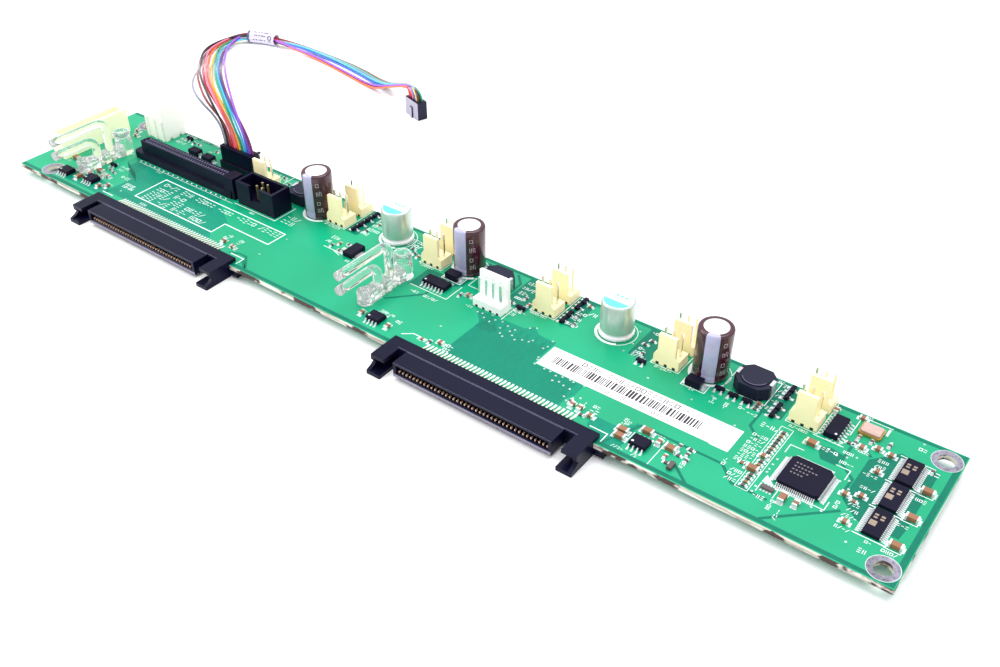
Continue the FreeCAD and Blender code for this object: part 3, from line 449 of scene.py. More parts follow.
class Piece:
    """Faces drawn in board millimetres. Each face's kind is the number of its material."""

    def __init__(self, name, *materials):
        self.name = name
        self.materials = materials
        self.points = []
        self.faces = []
        self.kinds = []
        self.round = []

    def face(self, corners, kind=0):
        start = len(self.points)
        self.points += corners
        self.faces.append(tuple(range(start, start + len(corners))))
        self.kinds.append(kind)
        self.round.append(False)

    def loft(self, rings, kind=0, smooth=False, caps=True, kind_of=None):
        start = len(self.points)
        count = len(rings[0])
        for points in rings:
            self.points += points
        for row in range(len(rings) - 1):
            for i in range(count):
                a = start + row * count + i
                b = start + row * count + (i + 1) % count
                self.faces.append((a, b, b + count, a + count))
                self.kinds.append(kind_of(i) if kind_of else kind)
                self.round.append(smooth)
        if caps:
            last = start + (len(rings) - 1) * count
            self.faces.append(tuple(reversed(range(start, start + count))))
            self.faces.append(tuple(range(last, last + count)))
            self.kinds += [kind, kind]
            self.round += [False, False]

    def prism(self, outline, bottom, top, kind=0):
        self.loft([[(x, y, bottom) for x, y in outline], [(x, y, top) for x, y in outline]], kind)

    def flat(self, outline, z, kind=0):
        self.face([(x, y, z) for x, y in outline], kind)

    def box(self, x, y, z, length, depth, height, kind=0, turn=0.0):
        a, b = length / 2, depth / 2
        outline = [spin(x, y, turn, *corner) for corner in ((-a, -b), (a, -b), (a, b), (-a, b))]
        self.prism(outline, z, z + height, kind)

    def moulded(self, x, y, z, length, depth, height, draft, kind=0, corner=0.0, turn=0.0):
        """A block with cut corners whose sides lean in from its parting line, up and down."""
        rings = []
        for level, inset in ((0, draft), (0.45, 0), (1, draft)):
            a, b = length / 2 - inset, depth / 2 - inset
            c = max(corner, 0.03)
            outline = ((c - a, -b), (a - c, -b), (a, c - b), (a, b - c))
            outline += tuple((-px, -py) for px, py in outline)
            rings.append([(*spin(x, y, turn, *point), z + level * height) for point in outline])
        self.loft(rings, kind)

    def drum(self, x, y, profile, count=48, kind=0, kind_of=None, caps=True):
        self.loft([ring(r, z, count, x, y) for r, z in profile], kind, True, caps, kind_of)

    def line(self, path, width, z, kind=0):
        closed = path[0] == path[-1]
        points = [Vector(p) for p in (path[:-1] if closed else path)]
        sides = []
        for i, point in enumerate(points):
            before = points[i - 1] if closed or i else point
            after = points[(i + 1) % len(points)] if closed or i + 1 < len(points) else point
            into = (point - before).normalized() if point != before else (after - point).normalized()
            out = (after - point).normalized() if after != point else into
            middle = into + out
            middle = middle.normalized() if middle.length > 0.01 else out
            reach = width / 2 / max(0.4, abs(middle.dot(out)))
            across = Vector((-middle.y, middle.x)) * reach
            sides.append((point + across, point - across))
        if closed:
            sides.append(sides[0])
        for (a, b), (c, d) in zip(sides, sides[1:]):
            self.flat([b, d, c, a], z, kind)

    def arc(self, x, y, inner, outer, first, last, z, kind=0, steps=40):
        angles = [first + (last - first) * i / steps for i in range(steps + 1)]
        for a, b in zip(angles, angles[1:]):
            ends = ((inner, a), (outer, a), (outer, b), (inner, b))
            self.flat([spin(x, y, angle, radius, 0) for radius, angle in ends], z, kind)

    def patch(self, x, y, radius, first, last, bottom, top, kind=0):
        """A field on the wall of a round can, from one angle to another."""
        sides = [spin(x, y, first + (last - first) * k / 4, radius, 0) for k in range(5)]
        for a, b in zip(sides, sides[1:]):
            self.face([(*a, bottom), (*b, bottom), (*b, top), (*a, top)], kind)

    def dot(self, x, y, radius, z, kind=0):
        self.face(ring(radius, z, 12, x, y), kind)

    def done(self, replaces=None, slot=None):
        mesh = bpy.data.meshes.new(self.name)
        mesh.from_pydata([tuple(at(*point)) for point in self.points], [], self.faces)
        for material in self.materials:
            mesh.materials.append(material)
        mesh.polygons.foreach_set("material_index", self.kinds)
        mesh.polygons.foreach_set("use_smooth", self.round)
        mesh.update()
        piece = bpy.data.objects.new(self.name, mesh)
        scene.collection.objects.link(piece)
        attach(piece, "root")
        if replaces:
            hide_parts(replaces)


# What lies where on the board
DRIVE_X = (76.2, 211.2)
CONTACTS = 40
CONTACT_PITCH = 1.27
FAN_X = (116.5, 157.2, 199.7, 240.6, 280.8)
FAN_PITCH = 2.54
CONTROLLER = (293.4, 19.8)
DRIVERS = ((313.1, 36.8), (313.0, 26.5), (313.0, 16.1))
OSCILLATOR = (300.1, 45.7)
ARRAY = (287.5, 11.6)  # four resistors in one body
REGULATOR_Y = 28.4
HOLES = ((13.0, 4.58), (13.0, 47.08), (319.0, 4.58), (319.0, 47.08))
# Place of each can, and the first and last angle of its stripe
CANS = ((111.0, 40.0, -112, -66), (171.8, 43.5, -122, -66), (255.6, 42.6, -95, -50))
BARE_CANS = ((142.3, 43.5), (225.4, 43.0))
COILS = ((100.9, 43.3), (184.0, 40.9), (268.2, 43.8))

# Heights of what is printed, etched and plated, above the bare board
AREA_Z = 0.012
TRACE_Z = 0.014
FINE_Z = 0.018
PAD_Z = 0.022
SILK_Z = 0.03

# Copper under the mask
MASKS = {"mask_dark": (0, 112, 88), "mask_trace": (2, 134, 106), "mask_line": (0, 98, 78)}
MASK_LOOK = {"spread": 0.05, "grain": 900, "relief": 0.05, "gloss": 0.2}
areas = Piece("board_dark_areas", *(plastic(*mask, 0.35, **MASK_LOOK) for mask in MASKS.items()))


def field(left, front, right, rear):
    return ((left, front), (right, front), (right, rear), (left, rear))


# Outline of each field and its kind: 0 dark, 1 that of the wide copper
AREAS = (
    (field(0.3, 0.4, 322.9, 1.7), 0),
    (field(0.3, 50.2, 322.9, 51.3), 0),
    (field(321.4, 1.7, 322.9, 50.2), 0),
    (((186.6, 28.0), (191.0, 23.2), (191.0, 6.0), (214.6, 6.0), (214.6, 28.4), (208.4, 28.6),
      (205.4, 31.0), (203.4, 28.6)), 1),
    (((214.6, 6.0), (230.2, 6.0), (230.2, 10.5), (231.2, 12.4), (231.2, 17.4), (214.6, 17.4)), 1),
    (((33.0, 27.2), (33.0, 22.4), (41.4, 15.0), (41.4, 6.0), (94.0, 6.0), (91.2, 9.4), (91.2, 16.6),
      (78.2, 24.4), (77.6, 27.2)), 1),
    (((245.4, 1.7), (240.0, 5.0), (240.0, 9.0), (247.0, 9.0), (250.4, 12.6), (250.4, 13.4),
      (251.4, 12.6), (251.4, 1.7)), 1),
    (field(273.2, 36.2, 279.4, 50.2), 0),
    (field(124.6, 36.6, 130.4, 50.2), 0),
    (field(207.2, 36.8, 214.0, 50.2), 0),
    (field(233.0, 36.6, 239.6, 50.2), 0),
    (field(190.4, 35.2, 199.0, 50.2), 0),
    (field(146.6, 37.4, 156.6, 46.8), 1),
    (((303.2, 19.4), (308.4, 14.8), (318.6, 14.8), (319.0, 18.6), (319.0, 41.0), (309.0, 43.0),
      (303.2, 36.0)), 0),
    (((293.4, 29.0), (297.6, 29.0), (297.8, 33.6), (294.0, 34.4), (291.0, 33.0)), 0),
    (((161.6, 26.0), (165.6, 26.0), (176.0, 34.6), (176.0, 49.6), (174.8, 49.6), (174.8, 36.0),
      (161.6, 36.0)), 0),
    (((15.8, 9.8), (37.0, 9.8), (42.6, 6.0), (42.6, 3.0), (15.8, 3.0)), 1),
)
LINES = (
    ((274.0, 36.4), (274.0, 29.8), (278.4, 25.6)),
    ((246.8, 1.7), (251.6, 12.9), (274.8, 12.9), (279.6, 8.2), (289.0, 8.2)),
    ((264.6, 6.4), (270.8, 1.4)),
    ((290.0, 1.6), (304.4, 15.4)),
    ((161.0, 15.6), (169.4, 24.4), (169.4, 26.4)),
    ((303.4, 37.0), (300.0, 40.0)),
    ((111.4, 4.8), (115.6, 1.4)),
    ((104.8, 5.0), (108.0, 6.4), (111.2, 6.4), (115.8, 1.8)),
    ((298.0, 38.0), (298.0, 31.0), (302.6, 27.0), (302.6, 22.0)),
    ((186.0, 49.6), (189.4, 46.0), (189.4, 37.0)),
    ((143.0, 49.6), (147.8, 45.0)),
)
for outline, kind in AREAS:
    areas.flat(outline, AREA_Z, kind)
for path in LINES:
    areas.line(path, 0.8, TRACE_Z)


def trace(path, width=0.16):
    areas.line(path, width, FINE_Z, 2)


for i in range(64):
    x = 191.6 + i * 0.6
    trace(((x, 6.4), (x, 11.6 if x > 229 else 17.2)))
    if x < 214:
        trace(((x, 17.2), (x, 24.0 + 3.4 * math.sin(i * 0.7) ** 2)))
for i in range(9):
    x = 187.0 + i * 0.7
    trace(((x, 27.6), (x + 4.4, 23.2), (x + 4.4, 21.0)))
for i in range(52):
    x = 42.0 + i * 0.95
    trace(((x, 6.4), (x, 9.4)), 0.18)
for i in range(34):
    x = 36.0 + i * 1.25
    trace(((x + 4.0, 18.0), (x, 22.6), (x, 26.8)), 0.18)
for i in range(12):
    x, drop = 30.0 + i * 0.8, i * 0.35
    trace(((x, 27.2), (x, 24.0 - drop), (x + 6.0, 19.8 - drop)), 0.18)
areas.done(slot="solder_mask")

# White print: outlines and rows of plain marks
SPOTS = random.Random(7)
silk = Piece("board_print", SILK)
MARK_SHAPES = (
    (((0, 0.2), (0.6, 0.2)), ((0, 0.8), (0.6, 0.8))),
    (((0, 0.15), (0.6, 0.15), (0.6, 0.85), (0, 0.85), (0, 0.15)),),
    (((0.1, 0), (0.1, 1)), ((0.5, 0), (0.5, 1))),
    (((0, 0.5), (0.6, 0.5)),),
    (((0, 0), (0.6, 0)), ((0, 0.5), (0.6, 0.5)), ((0, 1), (0.6, 1))),
    (((0, 0), (0.6, 1)),),
)
MARK_PITCH = 0.88  # of the marks' height


def draw_marks(piece, z, x, y, count, size, turn=0.0, stroke=0.15):
    for k in range(count):
        for path in SPOTS.choice(MARK_SHAPES):
            places = [spin(x, y, turn, (k * MARK_PITCH + px) * size, py * size) for px, py in path]
            piece.line(places, stroke * size, z)


def marks(x, y, count, size=1.2, turn=0.0):
    draw_marks(silk, SILK_Z, x, y, count, size, turn, 0.1 if size > 2 else 0.15)


BLOCK = ((52.1, 9.8), (51.9, 23.4), (111.5, 23.1), (111.4, 15.5), (90.9, 15.7), (91.0, 9.7), (52.1, 9.8))
BLOCK_MARK = 2.1
silk.line(BLOCK, 0.4, SILK_Z)
for y, end in ((20.0, 109.5), (16.6, 68.0), (13.6, 80.0), (10.7, 86.0)):
    x = 54.5
    while x < end:
        run = SPOTS.choice((3, 4, 5))
        marks(x, y, run, BLOCK_MARK)
        x += run * 1.85 + 1.7
# Paths of the outlines, by the width of their line
OUTLINES = {
    0.3: (
        ((111.6, 1.6), (111.6, 5.0), (105.6, 5.0)), ((176.6, 5.4), (179.4, 7.6), (184.6, 7.6)),
        ((241.0, 5.0), (246.4, 5.0), (246.4, 1.6)), ((40.4, 5.2), (46.0, 5.2)),
        ((83.2, 26.9), (102.6, 26.9), (102.6, 36.8)),
    ),
    0.22: (
        ((285.4, 26.0), (285.4, 29.4), (289.0, 29.4)), ((297.4, 29.4), (301.2, 29.4), (301.2, 25.6)),
        ((297.8, 13.2), (301.2, 13.2), (301.2, 16.4)), ((261.1, 39.0), (273.5, 39.0), (273.5, 50.0)),
        ((261.1, 39.0), (261.1, 50.0), (273.5, 50.0)), ((296.0, 41.6), (296.0, 50.2), (304.2, 50.2)),
        ((288.2, 36.4), (296.4, 36.4)), ((251.4, 37.6), (251.4, 33.8), (258.4, 33.8), (258.4, 37.4)),
        ((167.6, 38.4), (167.6, 34.6), (174.8, 34.6), (174.8, 38.2)), ((177.0, 36.0), (177.0, 45.6)),
        ((177.0, 36.0), (184.0, 36.0)), ((162.2, 26.2), (176.2, 26.2), (176.2, 34.0)),
        ((251.6, 4.8), (251.6, 9.6), (258.4, 9.6)), ((130.8, 25.6), (134.0, 24.6)),
        ((126.2, 25.8), (140.2, 25.8)),
    ),
    0.16: (
        ((280.6, 8.0), (280.6, 34.4), (283.9, 34.4), (283.9, 8.0), (280.6, 8.0)),
        ((33.6, 26.2), (83.0, 26.2)),
    ),
    0.6: (((303.6, 46.8), (303.6, 49.6)),),
    0.25: (((195.4, 28.0), (195.4, 34.6)),),
    0.18: (((260.0, 1.6), (260.0, 12.2)),),
    0.2: (((285.4, 9.4), (285.4, 12.6), (289.8, 12.6), (289.8, 9.4)),),
}
for width, paths in OUTLINES.items():
    for path in paths:
        silk.line(path, width, SILK_Z)
for y in (42.2, 31.7, 21.4, 10.9):
    width, right = (0.22, 317.0) if y > 40 else (0.3, 317.2)
    silk.line(((309.0, y), (right, y)), width, SILK_Z)
for y in (31.6, 21.1, 10.6):
    silk.line(((316.6, y), (320.6, y), (320.6, y + 3.2)), 0.22, SILK_Z)
silk.flat(((285.3, 13.2), (288.5, 13.2), (285.5, 16.0)), SILK_Z)
for x, y in [(x, 37.2) for x in FAN_X] + [(78.7, 39.6)]:
    left, right, front = x - 0.4, x + 8.2, y - 0.2
    silk.line(((left, y + 8.6), (left, front), (right, front), (right, y + 14.0)), 0.22, SILK_Z)
for x, y, *_ in CANS:
    silk.arc(x, y, 5.02, 6.0, -195, -40, SILK_Z)
    silk.arc(x, y, 5.8, 6.0, -40, 165, SILK_Z)
for x, y in BARE_CANS:
    silk.arc(x, y, 5.5, 6.3, -190, -60, SILK_Z)
    silk.arc(x, y, 6.1, 6.3, -60, 170, SILK_Z)
# Place of each row of marks, how many it has and their height
MARKS = (
    (311.9, 46.6, 2, 1.3), (312.2, 5.8, 2, 1.3), (276.0, 31.4, 4, 1.5), (285.4, 7.4, 3, 1.2),
    (291.2, 32.4, 5, 1.2), (297.6, 30.6, 4, 1.1), (291.6, 36.6, 4, 1.2), (305.2, 36.6, 3, 1.1),
    (305.2, 34.4, 3, 1.1), (303.8, 30.2, 4, 1.1), (305.0, 25.4, 4, 1.1), (305.0, 18.4, 3, 1.1),
    (305.4, 16.4, 3, 1.1), (305.0, 14.2, 4, 1.1), (305.0, 9.8, 4, 1.1), (316.6, 39.6, 2, 1.8),
    (316.2, 29.2, 4, 1.1), (316.6, 18.8, 3, 1.1), (316.6, 9.0, 4, 1.1), (312.6, 9.2, 2, 1.0),
    (271.0, 33.4, 3, 1.2), (268.4, 34.0, 2, 1.1), (253.2, 33.0, 3, 1.0), (242.0, 35.8, 6, 1.0),
    (282.0, 35.4, 6, 1.0), (200.0, 35.8, 6, 1.1), (157.4, 35.8, 6, 1.1), (117.0, 35.6, 7, 1.1),
    (79.0, 38.0, 5, 1.0), (249.2, 1.9, 4, 1.0), (255.0, 1.9, 2, 1.0), (255.8, 12.0, 4, 1.0),
    (261.6, 11.0, 3, 1.0), (237.8, 9.4, 2, 1.6), (237.8, 11.4, 2, 1.2), (190.6, 8.4, 2, 1.4),
    (190.6, 6.6, 2, 1.4), (181.6, 6.2, 3, 1.2), (194.0, 33.4, 4, 1.3), (194.2, 31.4, 3, 1.3),
    (211.2, 37.6, 4, 1.2), (211.0, 43.6, 3, 1.4), (214.6, 45.0, 2, 1.6), (211.0, 40.6, 3, 1.4),
    (182.6, 27.2, 3, 1.0), (177.4, 31.2, 3, 1.2), (164.6, 23.2, 3, 1.2), (169.6, 23.2, 5, 1.2),
    (170.2, 33.2, 3, 1.0), (146.4, 44.6, 4, 1.6), (147.0, 42.4, 4, 1.6), (130.2, 46.4, 3, 1.4),
    (130.6, 43.6, 4, 1.4), (130.6, 41.2, 4, 1.4), (130.2, 38.4, 3, 1.3), (124.6, 30.8, 3, 1.3),
    (124.6, 28.2, 2, 1.2), (164.6, 10.0, 6, 1.0), (171.6, 8.6, 2, 1.2), (104.2, 30.4, 3, 2.2),
    (104.2, 27.6, 3, 2.2), (97.2, 11.2, 2, 1.2), (96.8, 9.6, 2, 1.2), (102.6, 11.0, 2, 1.2),
    (102.6, 9.6, 2, 1.0), (43.0, 12.6, 4, 1.3), (43.0, 11.0, 5, 1.3), (37.6, 15.0, 4, 1.2),
    (31.4, 19.6, 4, 1.2), (31.8, 17.6, 3, 1.2), (44.4, 24.9, 3, 1.0), (31.0, 50.2, 6, 1.0),
    (38.8, 50.4, 5, 1.0), (45.0, 50.6, 4, 1.0), (92.0, 25.2, 3, 0.9), (31.6, 44.4, 4, 1.4),
    (31.4, 46.8, 3, 1.2), (49.8, 48.6, 3, 1.1), (57.6, 7.2, 4, 0.9), (11.4, 11.4, 2, 1.1),
    (47.8, 46.0, 2, 1.0), (60.6, 47.6, 4, 1.1), (299.0, 37.0, 4, 1.1), (297.0, 34.4, 3, 1.1),
    (296.6, 50.4, 3, 0.8), (244.6, 46.6, 1, 1.0), (137.6, 23.2, 2, 1.0), (235.2, 10.2, 1, 1.0),
    (272.4, 50.0, 2, 1.0), (274.0, 46.4, 3, 1.1), (274.0, 44.2, 3, 1.1), (274.0, 41.6, 3, 1.1),
    (274.2, 49.0, 2, 1.2), (274.0, 38.2, 3, 1.1), (234.0, 48.4, 3, 1.2), (234.0, 38.0, 3, 1.2),
    (234.4, 40.0, 2, 1.2), (234.0, 36.6, 4, 1.1), (191.0, 44.4, 4, 1.3), (191.6, 41.8, 3, 1.3),
    (191.0, 47.4, 3, 1.2), (192.0, 39.0, 3, 1.2), (77.0, 48.8, 5, 1.2), (82.6, 47.6, 4, 1.2),
    (89.6, 49.0, 3, 1.2),
)
for x, y, count, size in MARKS:
    marks(x, y, count, size)
for row in range(7):
    marks(276.0, 16.4 + row * 1.75, 4)
for row in range(3):
    marks(277.2, 8.8 + row * 1.7, 3)
UPRIGHT_MARKS = (
    (290.8, 5.4, 4), (293.4, 3.4, 4), (303.4, 15.4, 3), (275.4, 12.8, 3), (262.2, 31.6, 3),
    (265.8, 31.6, 3), (248.0, 9.6, 4), (272.6, 45.0, 1), (236.0, 8.6, 4), (302.4, 42.4, 3),
    (267.6, 5.4, 3), (249.0, 11.0, 2),
)
for x, y, count in UPRIGHT_MARKS:
    marks(x, y, count, 1.1, 90)
silk.done(slot="solder_mask")

# Solder: pads, plated through dots with painted shade in their holes, and the rings of the screw holes
PAD = plastic("solder", (222, 230, 230), 0.3, grain=4000, relief=0.4, metallic=0.7)
SHADE = plastic("hole_dark", (22, 40, 38), 0.6, spread=0.2)
RING = plastic("ring_grey", (126, 122, 138), 0.45, spread=0.3, grain=900, relief=0.4, metallic=0.3)
pads = Piece("board_solder", PAD, SHADE, RING)


def pad(x, y, length, depth, height=0.03, turn=0.0):
    pads.box(x, y, 0.01, length, depth, height, 0, turn)


for x, y in HOLES:
    pads.arc(x, y, 2.32, 3.9, 0, 360, PAD_Z, 2, 64)
    pads.arc(x, y, 3.82, 3.96, 0, 360, PAD_Z + 0.004, 0, 64)
    # Eight dots of painted shade round each screw hole
    for k in range(8):
        pads.dot(*spin(x, y, 45 * (k + 0.5), 3.2, 0), 0.16, PAD_Z + 0.006, 1)
for i in range(19):
    pads.drum(33.9 + i * 2.5, 26.95, ((0.42, 0.0), (0.36, 0.2), (0.16, 0.3)), 12)
VIAS = (
    (187.6, 27.0), (189.2, 27.2), (190.8, 25.8), (193.2, 25.2), (194.2, 26.8), (196.4, 27.4),
    (197.6, 24.6), (198.8, 26.6), (199.0, 22.6), (200.4, 21.8), (200.8, 25.0), (201.6, 26.4),
    (202.4, 23.8), (204.2, 22.6), (206.0, 23.8), (208.6, 25.4), (208.0, 24.2), (213.0, 24.2),
    (213.6, 25.6), (213.4, 28.4), (214.2, 20.2), (214.6, 19.2), (215.0, 17.2), (218.4, 17.0),
    (220.4, 17.0), (222.6, 16.4), (224.4, 17.0), (226.8, 17.2), (228.0, 17.0), (231.2, 17.4),
    (223.0, 14.2), (224.8, 14.8), (226.6, 14.2), (228.8, 14.0), (229.2, 10.6), (231.6, 11.4),
    (232.0, 8.6), (230.6, 9.6), (204.6, 29.6), (206.2, 30.8), (233.2, 12.6), (192.2, 28.2),
    (260.8, 34.4), (300.4, 24.6), (302.2, 26.0), (303.2, 23.2), (298.6, 33.4), (300.6, 34.8),
    (312.4, 49.6), (305.6, 45.2), (309.2, 7.0), (150.6, 37.0), (163.4, 37.2), (175.6, 44.4),
    (175.2, 47.6), (230.8, 47.2), (232.0, 41.2), (231.6, 36.8), (300.8, 12.6), (298.4, 12.4),
    (293.8, 33.6), (296.2, 32.6), (270.8, 27.4), (114.0, 21.4), (183.4, 15.0), (199.2, 34.2),
    (257.0, 29.8), (243.2, 30.6), (45.4, 9.0), (113.4, 10.0), (285.0, 22.5), (284.9, 20.2),
    (284.9, 18.2), (284.9, 16.9), (287.2, 15.2), (288.0, 15.9), (284.8, 10.9), (284.8, 8.8),
)
for x, y in VIAS:
    pads.dot(x, y, 0.3, PAD_Z)
    # Painted shade in the via's hole
    pads.dot(x, y, 0.12, PAD_Z + 0.004, 1)
for centre in DRIVE_X:
    for x in spaced(centre, CONTACTS, CONTACT_PITCH):
        pad(x, 5.6, 0.72, 2.0, 0.02)

# Chip capacitors: bright ends on the solids, and their pads. Each row is a place and a turn.
LARGE_CAPS = (
    (248.9, 8.3, 0), (249.4, 5.9, 0), (254.3, 11.6, 0), (262.1, 9.6, 0), (281.6, 15.4, 0),
    (291.8, 10.6, 90), (318.9, 33.2, 0), (318.9, 22.7, 0), (318.9, 12.2, 0), (13.6, 14.2, 0),
    (25.9, 6.2, 90), (28.9, 13.2, 0), (289.6, 32.6, 0),
)
SMALL_CAPS = (
    (258.6, 10.0, 90), (281.9, 21.1, 0), (295.1, 10.8, 90), (303.2, 20.9, 0), (306.6, 12.4, 0),
    (306.6, 22.6, 0), (306.6, 32.7, 0), (188.7, 8.6, 0), (233.0, 8.8, 90), (235.4, 8.8, 90),
    (239.2, 7.9, 0), (99.0, 8.0, 90), (104.0, 7.5, 0), (160.9, 6.0, 90), (171.4, 5.4, 90),
    (27.3, 10.0, 0), (34.1, 12.4, 0), (36.8, 6.2, 90), (39.3, 8.1, 90), (307.3, 40.2, 0),
    (303.8, 40.6, 0), (300.3, 38.8, 0), (289.6, 48.2, 90), (296.4, 49.4, 0), (180.8, 31.5, 0),
    (13.8, 41.4, 0), (16.4, 38.6, 0),
)
ends = Piece("chip_capacitor_ends", PAD)
for places, (length, depth, height) in ((LARGE_CAPS, (3.2, 1.6, 1.2)), (SMALL_CAPS, (2.0, 1.25, 0.9))):
    for x, y, turn in places:
        for side in (-1, 1):
            pad(*spin(x, y, turn, side * (length / 2 + 0.1), 0), 1.1, depth + 0.3, turn=turn)
            px, py = spin(x, y, turn, side * (length / 2 - 0.22), 0)
            ends.box(px, py, 0.02, 0.5, depth + 0.04, height, 0, turn)
ends.done(slot="chip_ceramic")

# Small chip resistors: a dark body with a bright end on each side, on two pads
RESISTORS = [(282.3, 9.2 + k * 1.43, 0) for k in range(17) if k not in (4, 8)]
RESISTORS += [
    (272.2, 36.2, 0), (272.2, 37.6, 0), (272.2, 38.9, 0), (263.4, 12.0, 90), (266.4, 10.4, 90),
    (264.8, 8.8, 0), (262.2, 6.6, 90), (263.6, 4.8, 0), (267.2, 8.2, 90), (266.4, 12.4, 0),
    (298.2, 42.2, 90), (297.0, 38.6, 0), (301.4, 42.4, 90), (298.2, 39.6, 90), (305.8, 20.0, 0),
    (317.4, 41.0, 90), (132.6, 30.9, 0), (132.4, 26.6, 0), (129.6, 29.6, 90), (128.2, 27.4, 90),
    (212.4, 42.4, 90), (214.0, 38.4, 90), (213.0, 48.6, 0), (236.2, 45.2, 0), (235.2, 42.8, 0),
    (236.6, 38.6, 90), (197.8, 38.4, 90), (195.2, 40.6, 90), (193.0, 36.6, 0), (131.6, 48.4, 0),
    (132.2, 45.4, 90), (131.4, 40.2, 90), (150.6, 41.4, 0), (152.6, 39.4, 90), (154.6, 38.6, 90),
    (30.4, 16.2, 0), (33.0, 15.6, 0), (29.6, 10.6, 90), (31.8, 11.4, 0), (38.4, 47.4, 90),
    (41.0, 47.8, 0), (50.6, 47.8, 0), (80.4, 47.2, 0), (84.6, 49.2, 0), (88.8, 46.6, 90),
    (99.4, 36.4, 0), (278.6, 16.0, 0), (178.2, 30.2, 90), (231.8, 9.8, 90), (237.0, 7.0, 0),
    (183.2, 7.0, 0), (185.6, 7.2, 90), (299.6, 47.0, 0), (305.6, 43.6, 90),
]
GLAZE = plastic("resistor_glaze", (84, 70, 72), 0.4, spread=0.2, grain=4000, edge=0.04)
small = Piece("chip_resistors", GLAZE, PAD, TAN)
for number, (x, y, turn) in enumerate(RESISTORS):
    for side in (-1, 1):
        pad(*spin(x, y, turn, side * 0.85, 0), 0.7, 0.95, turn=turn)
        px, py = spin(x, y, turn, side * 0.65, 0)
        small.box(px, py, 0.02, 0.3, 0.84, 0.44, 1, turn)
    small.box(x, y, 0.03, 1.05, 0.8, 0.4, 2 if number % 4 == 1 else 0, turn)
small.box(265.2, 4.2, 0.1, 1.3, 2.6, 0.9)
small.box(*ARRAY, 0.1, 3.2, 1.3, 0.5)
for x in spaced(ARRAY[0], 4, 0.8):
    for side in (-1, 1):
        pad(x, ARRAY[1] + side * 0.95, 0.5, 0.9, 0.05)
small.done(slot="chip_plastic")


# Gull-wing leads: out of the body at the top, down, and flat on the pad
def lead(piece, x, y, turn, across, start, reach, width, top, thick=0.16):
    span = reach - start
    foot = 0.03
    side_view = (
        (start - 0.1, top),
        (start + 0.28 * span, top),
        (start + 0.6 * span, thick + foot),
        (reach, thick + foot),
        (reach, foot),
        (start + 0.45 * span, foot),
        (start + 0.12 * span, top - thick),
        (start - 0.1, top - thick),
    )
    sides = [across + width / 2, across - width / 2]
    piece.loft([[(*spin(x, y, turn, out, side), z) for out, z in side_view] for side in sides])


def lead_row(x, y, turn, count, pitch, start, reach, width, top):
    for across in spaced(0, count, pitch):
        lead(legs, x, y, turn, across, start, reach, width, top)
        pad(*spin(x, y, turn, reach - 0.1, across), 1.1, width + 0.16, 0.025, turn)


def transistor_leg(x, y, turn, across):
    lead(legs, x, y, turn, across, 0.65, 1.3, 0.42, 0.6, 0.12)
    pad(*spin(x, y, turn, 1.25, across), 1.2, 0.85, turn=turn)


# Chips and the oscillator
TIN_WIRE = plastic(
    "lead_tin", (226, 224, 228), 0.32, spread=0.08, grain=5000, relief=0.2, edge=0.02, metallic=0.6
)
MARK = plastic("stamp_grey", (120, 112, 118), 0.6)
STAMP = plastic("stamp_tan", (150, 132, 116), 0.6)
RIM = plastic("rim_gold", (196, 158, 84), 0.3, edge=0.05, metallic=0.7)
LID = plastic("lid_rose", (206, 176, 168), 0.35, spread=0.06, grain=1500, edge=0.05, metallic=0.5)
oscillator = Piece("oscillator_can", RIM, LID)
oscillator.moulded(*OSCILLATOR, 0.0, 6.0, 4.6, 0.9, 0.05, 0, 0.3)
oscillator.moulded(*OSCILLATOR, 0.9, 5.3, 3.9, 0.5, 0.12, 1, 0.4)
oscillator.done(replaces="oscillator", slot="oscillator_metal")
controller = Piece("controller", CHIP, MARK)
controller.moulded(*CONTROLLER, 0.1, 11.0, 11.0, 1.4, 0.2, 0, 0.9)
controller.dot(289.6, 16.4, 0.5, 1.503)
for row, count in enumerate((5, 7, 5, 4)):
    for k in range(count):
        controller.box(290.0 + k * 0.9, 22.9 - row * 1.3, 1.498, 0.5, 0.4, 0.006, 1)
controller.done(replaces="controller_body", slot="chip_plastic")
for number, (x, y) in enumerate(DRIVERS, 1):
    driver = Piece(f"driver_{number}", CHIP, STAMP)
    driver.moulded(x, y, 0.1, 4.4, 9.4, 1.0, 0.12, 0, 0.1)
    driver.box(x - 0.9, y - 0.8, 1.098, 1.7, 1.8, 0.006, 1)
    for k in range(4):
        driver.box(x - 1.0 + (k % 2) * 1.6, y + 1.2 + (k // 2) * 1.0, 1.098, 0.9, 0.6, 0.006, 1)
    driver.done(replaces=f"bus_driver_{number}", slot="chip_plastic")
logic = Piece("logic_chips", CHIP, TIN_WIRE)
# Place, turn, length and how many leads on a side
LOGIC = (
    (292.3, 41.6, 90, 8.7, 7), (169.3, 30.4, 0, 8.7, 7), (255.0, 6.5, 0, 4.9, 4), (166.2, 6.3, 0, 4.9, 4),
    (19.4, 6.0, 0, 4.9, 4), (31.4, 7.6, 0, 4.9, 4),
)
for x, y, turn, length, count in LOGIC:
    logic.moulded(x, y, 0.1, length, 3.9, 1.5, 0.16, 0, 0.05, turn)
    logic.dot(*spin(x, y, turn, -length / 2 + 0.9, -1.1), 0.35, 1.606, 1)
logic.done(replaces="logic_bodies", slot="chip_plastic")
TRANSISTORS = [
    (x, y, 0)
    for x, y in (
        (261.1, 37.6), (265.2, 37.3), (269.3, 37.3), (197.0, 35.4), (238.2, 35.2), (28.8, 18.8),
        (34.9, 48.6),
    )
]
TRANSISTOR_COLUMNS = {
    276.9: (49.0, 45.6, 40.4, 36.9),
    127.6: (49.2, 45.8, 42.4, 39.0),
    210.3: (49.6, 46.2, 41.6, 38.2),
}
TRANSISTORS += [(x, y, -90) for x, column in TRANSISTOR_COLUMNS.items() for y in column]
bodies = Piece("transistors", CHIP)
legs = Piece("package_leads", TIN_WIRE)
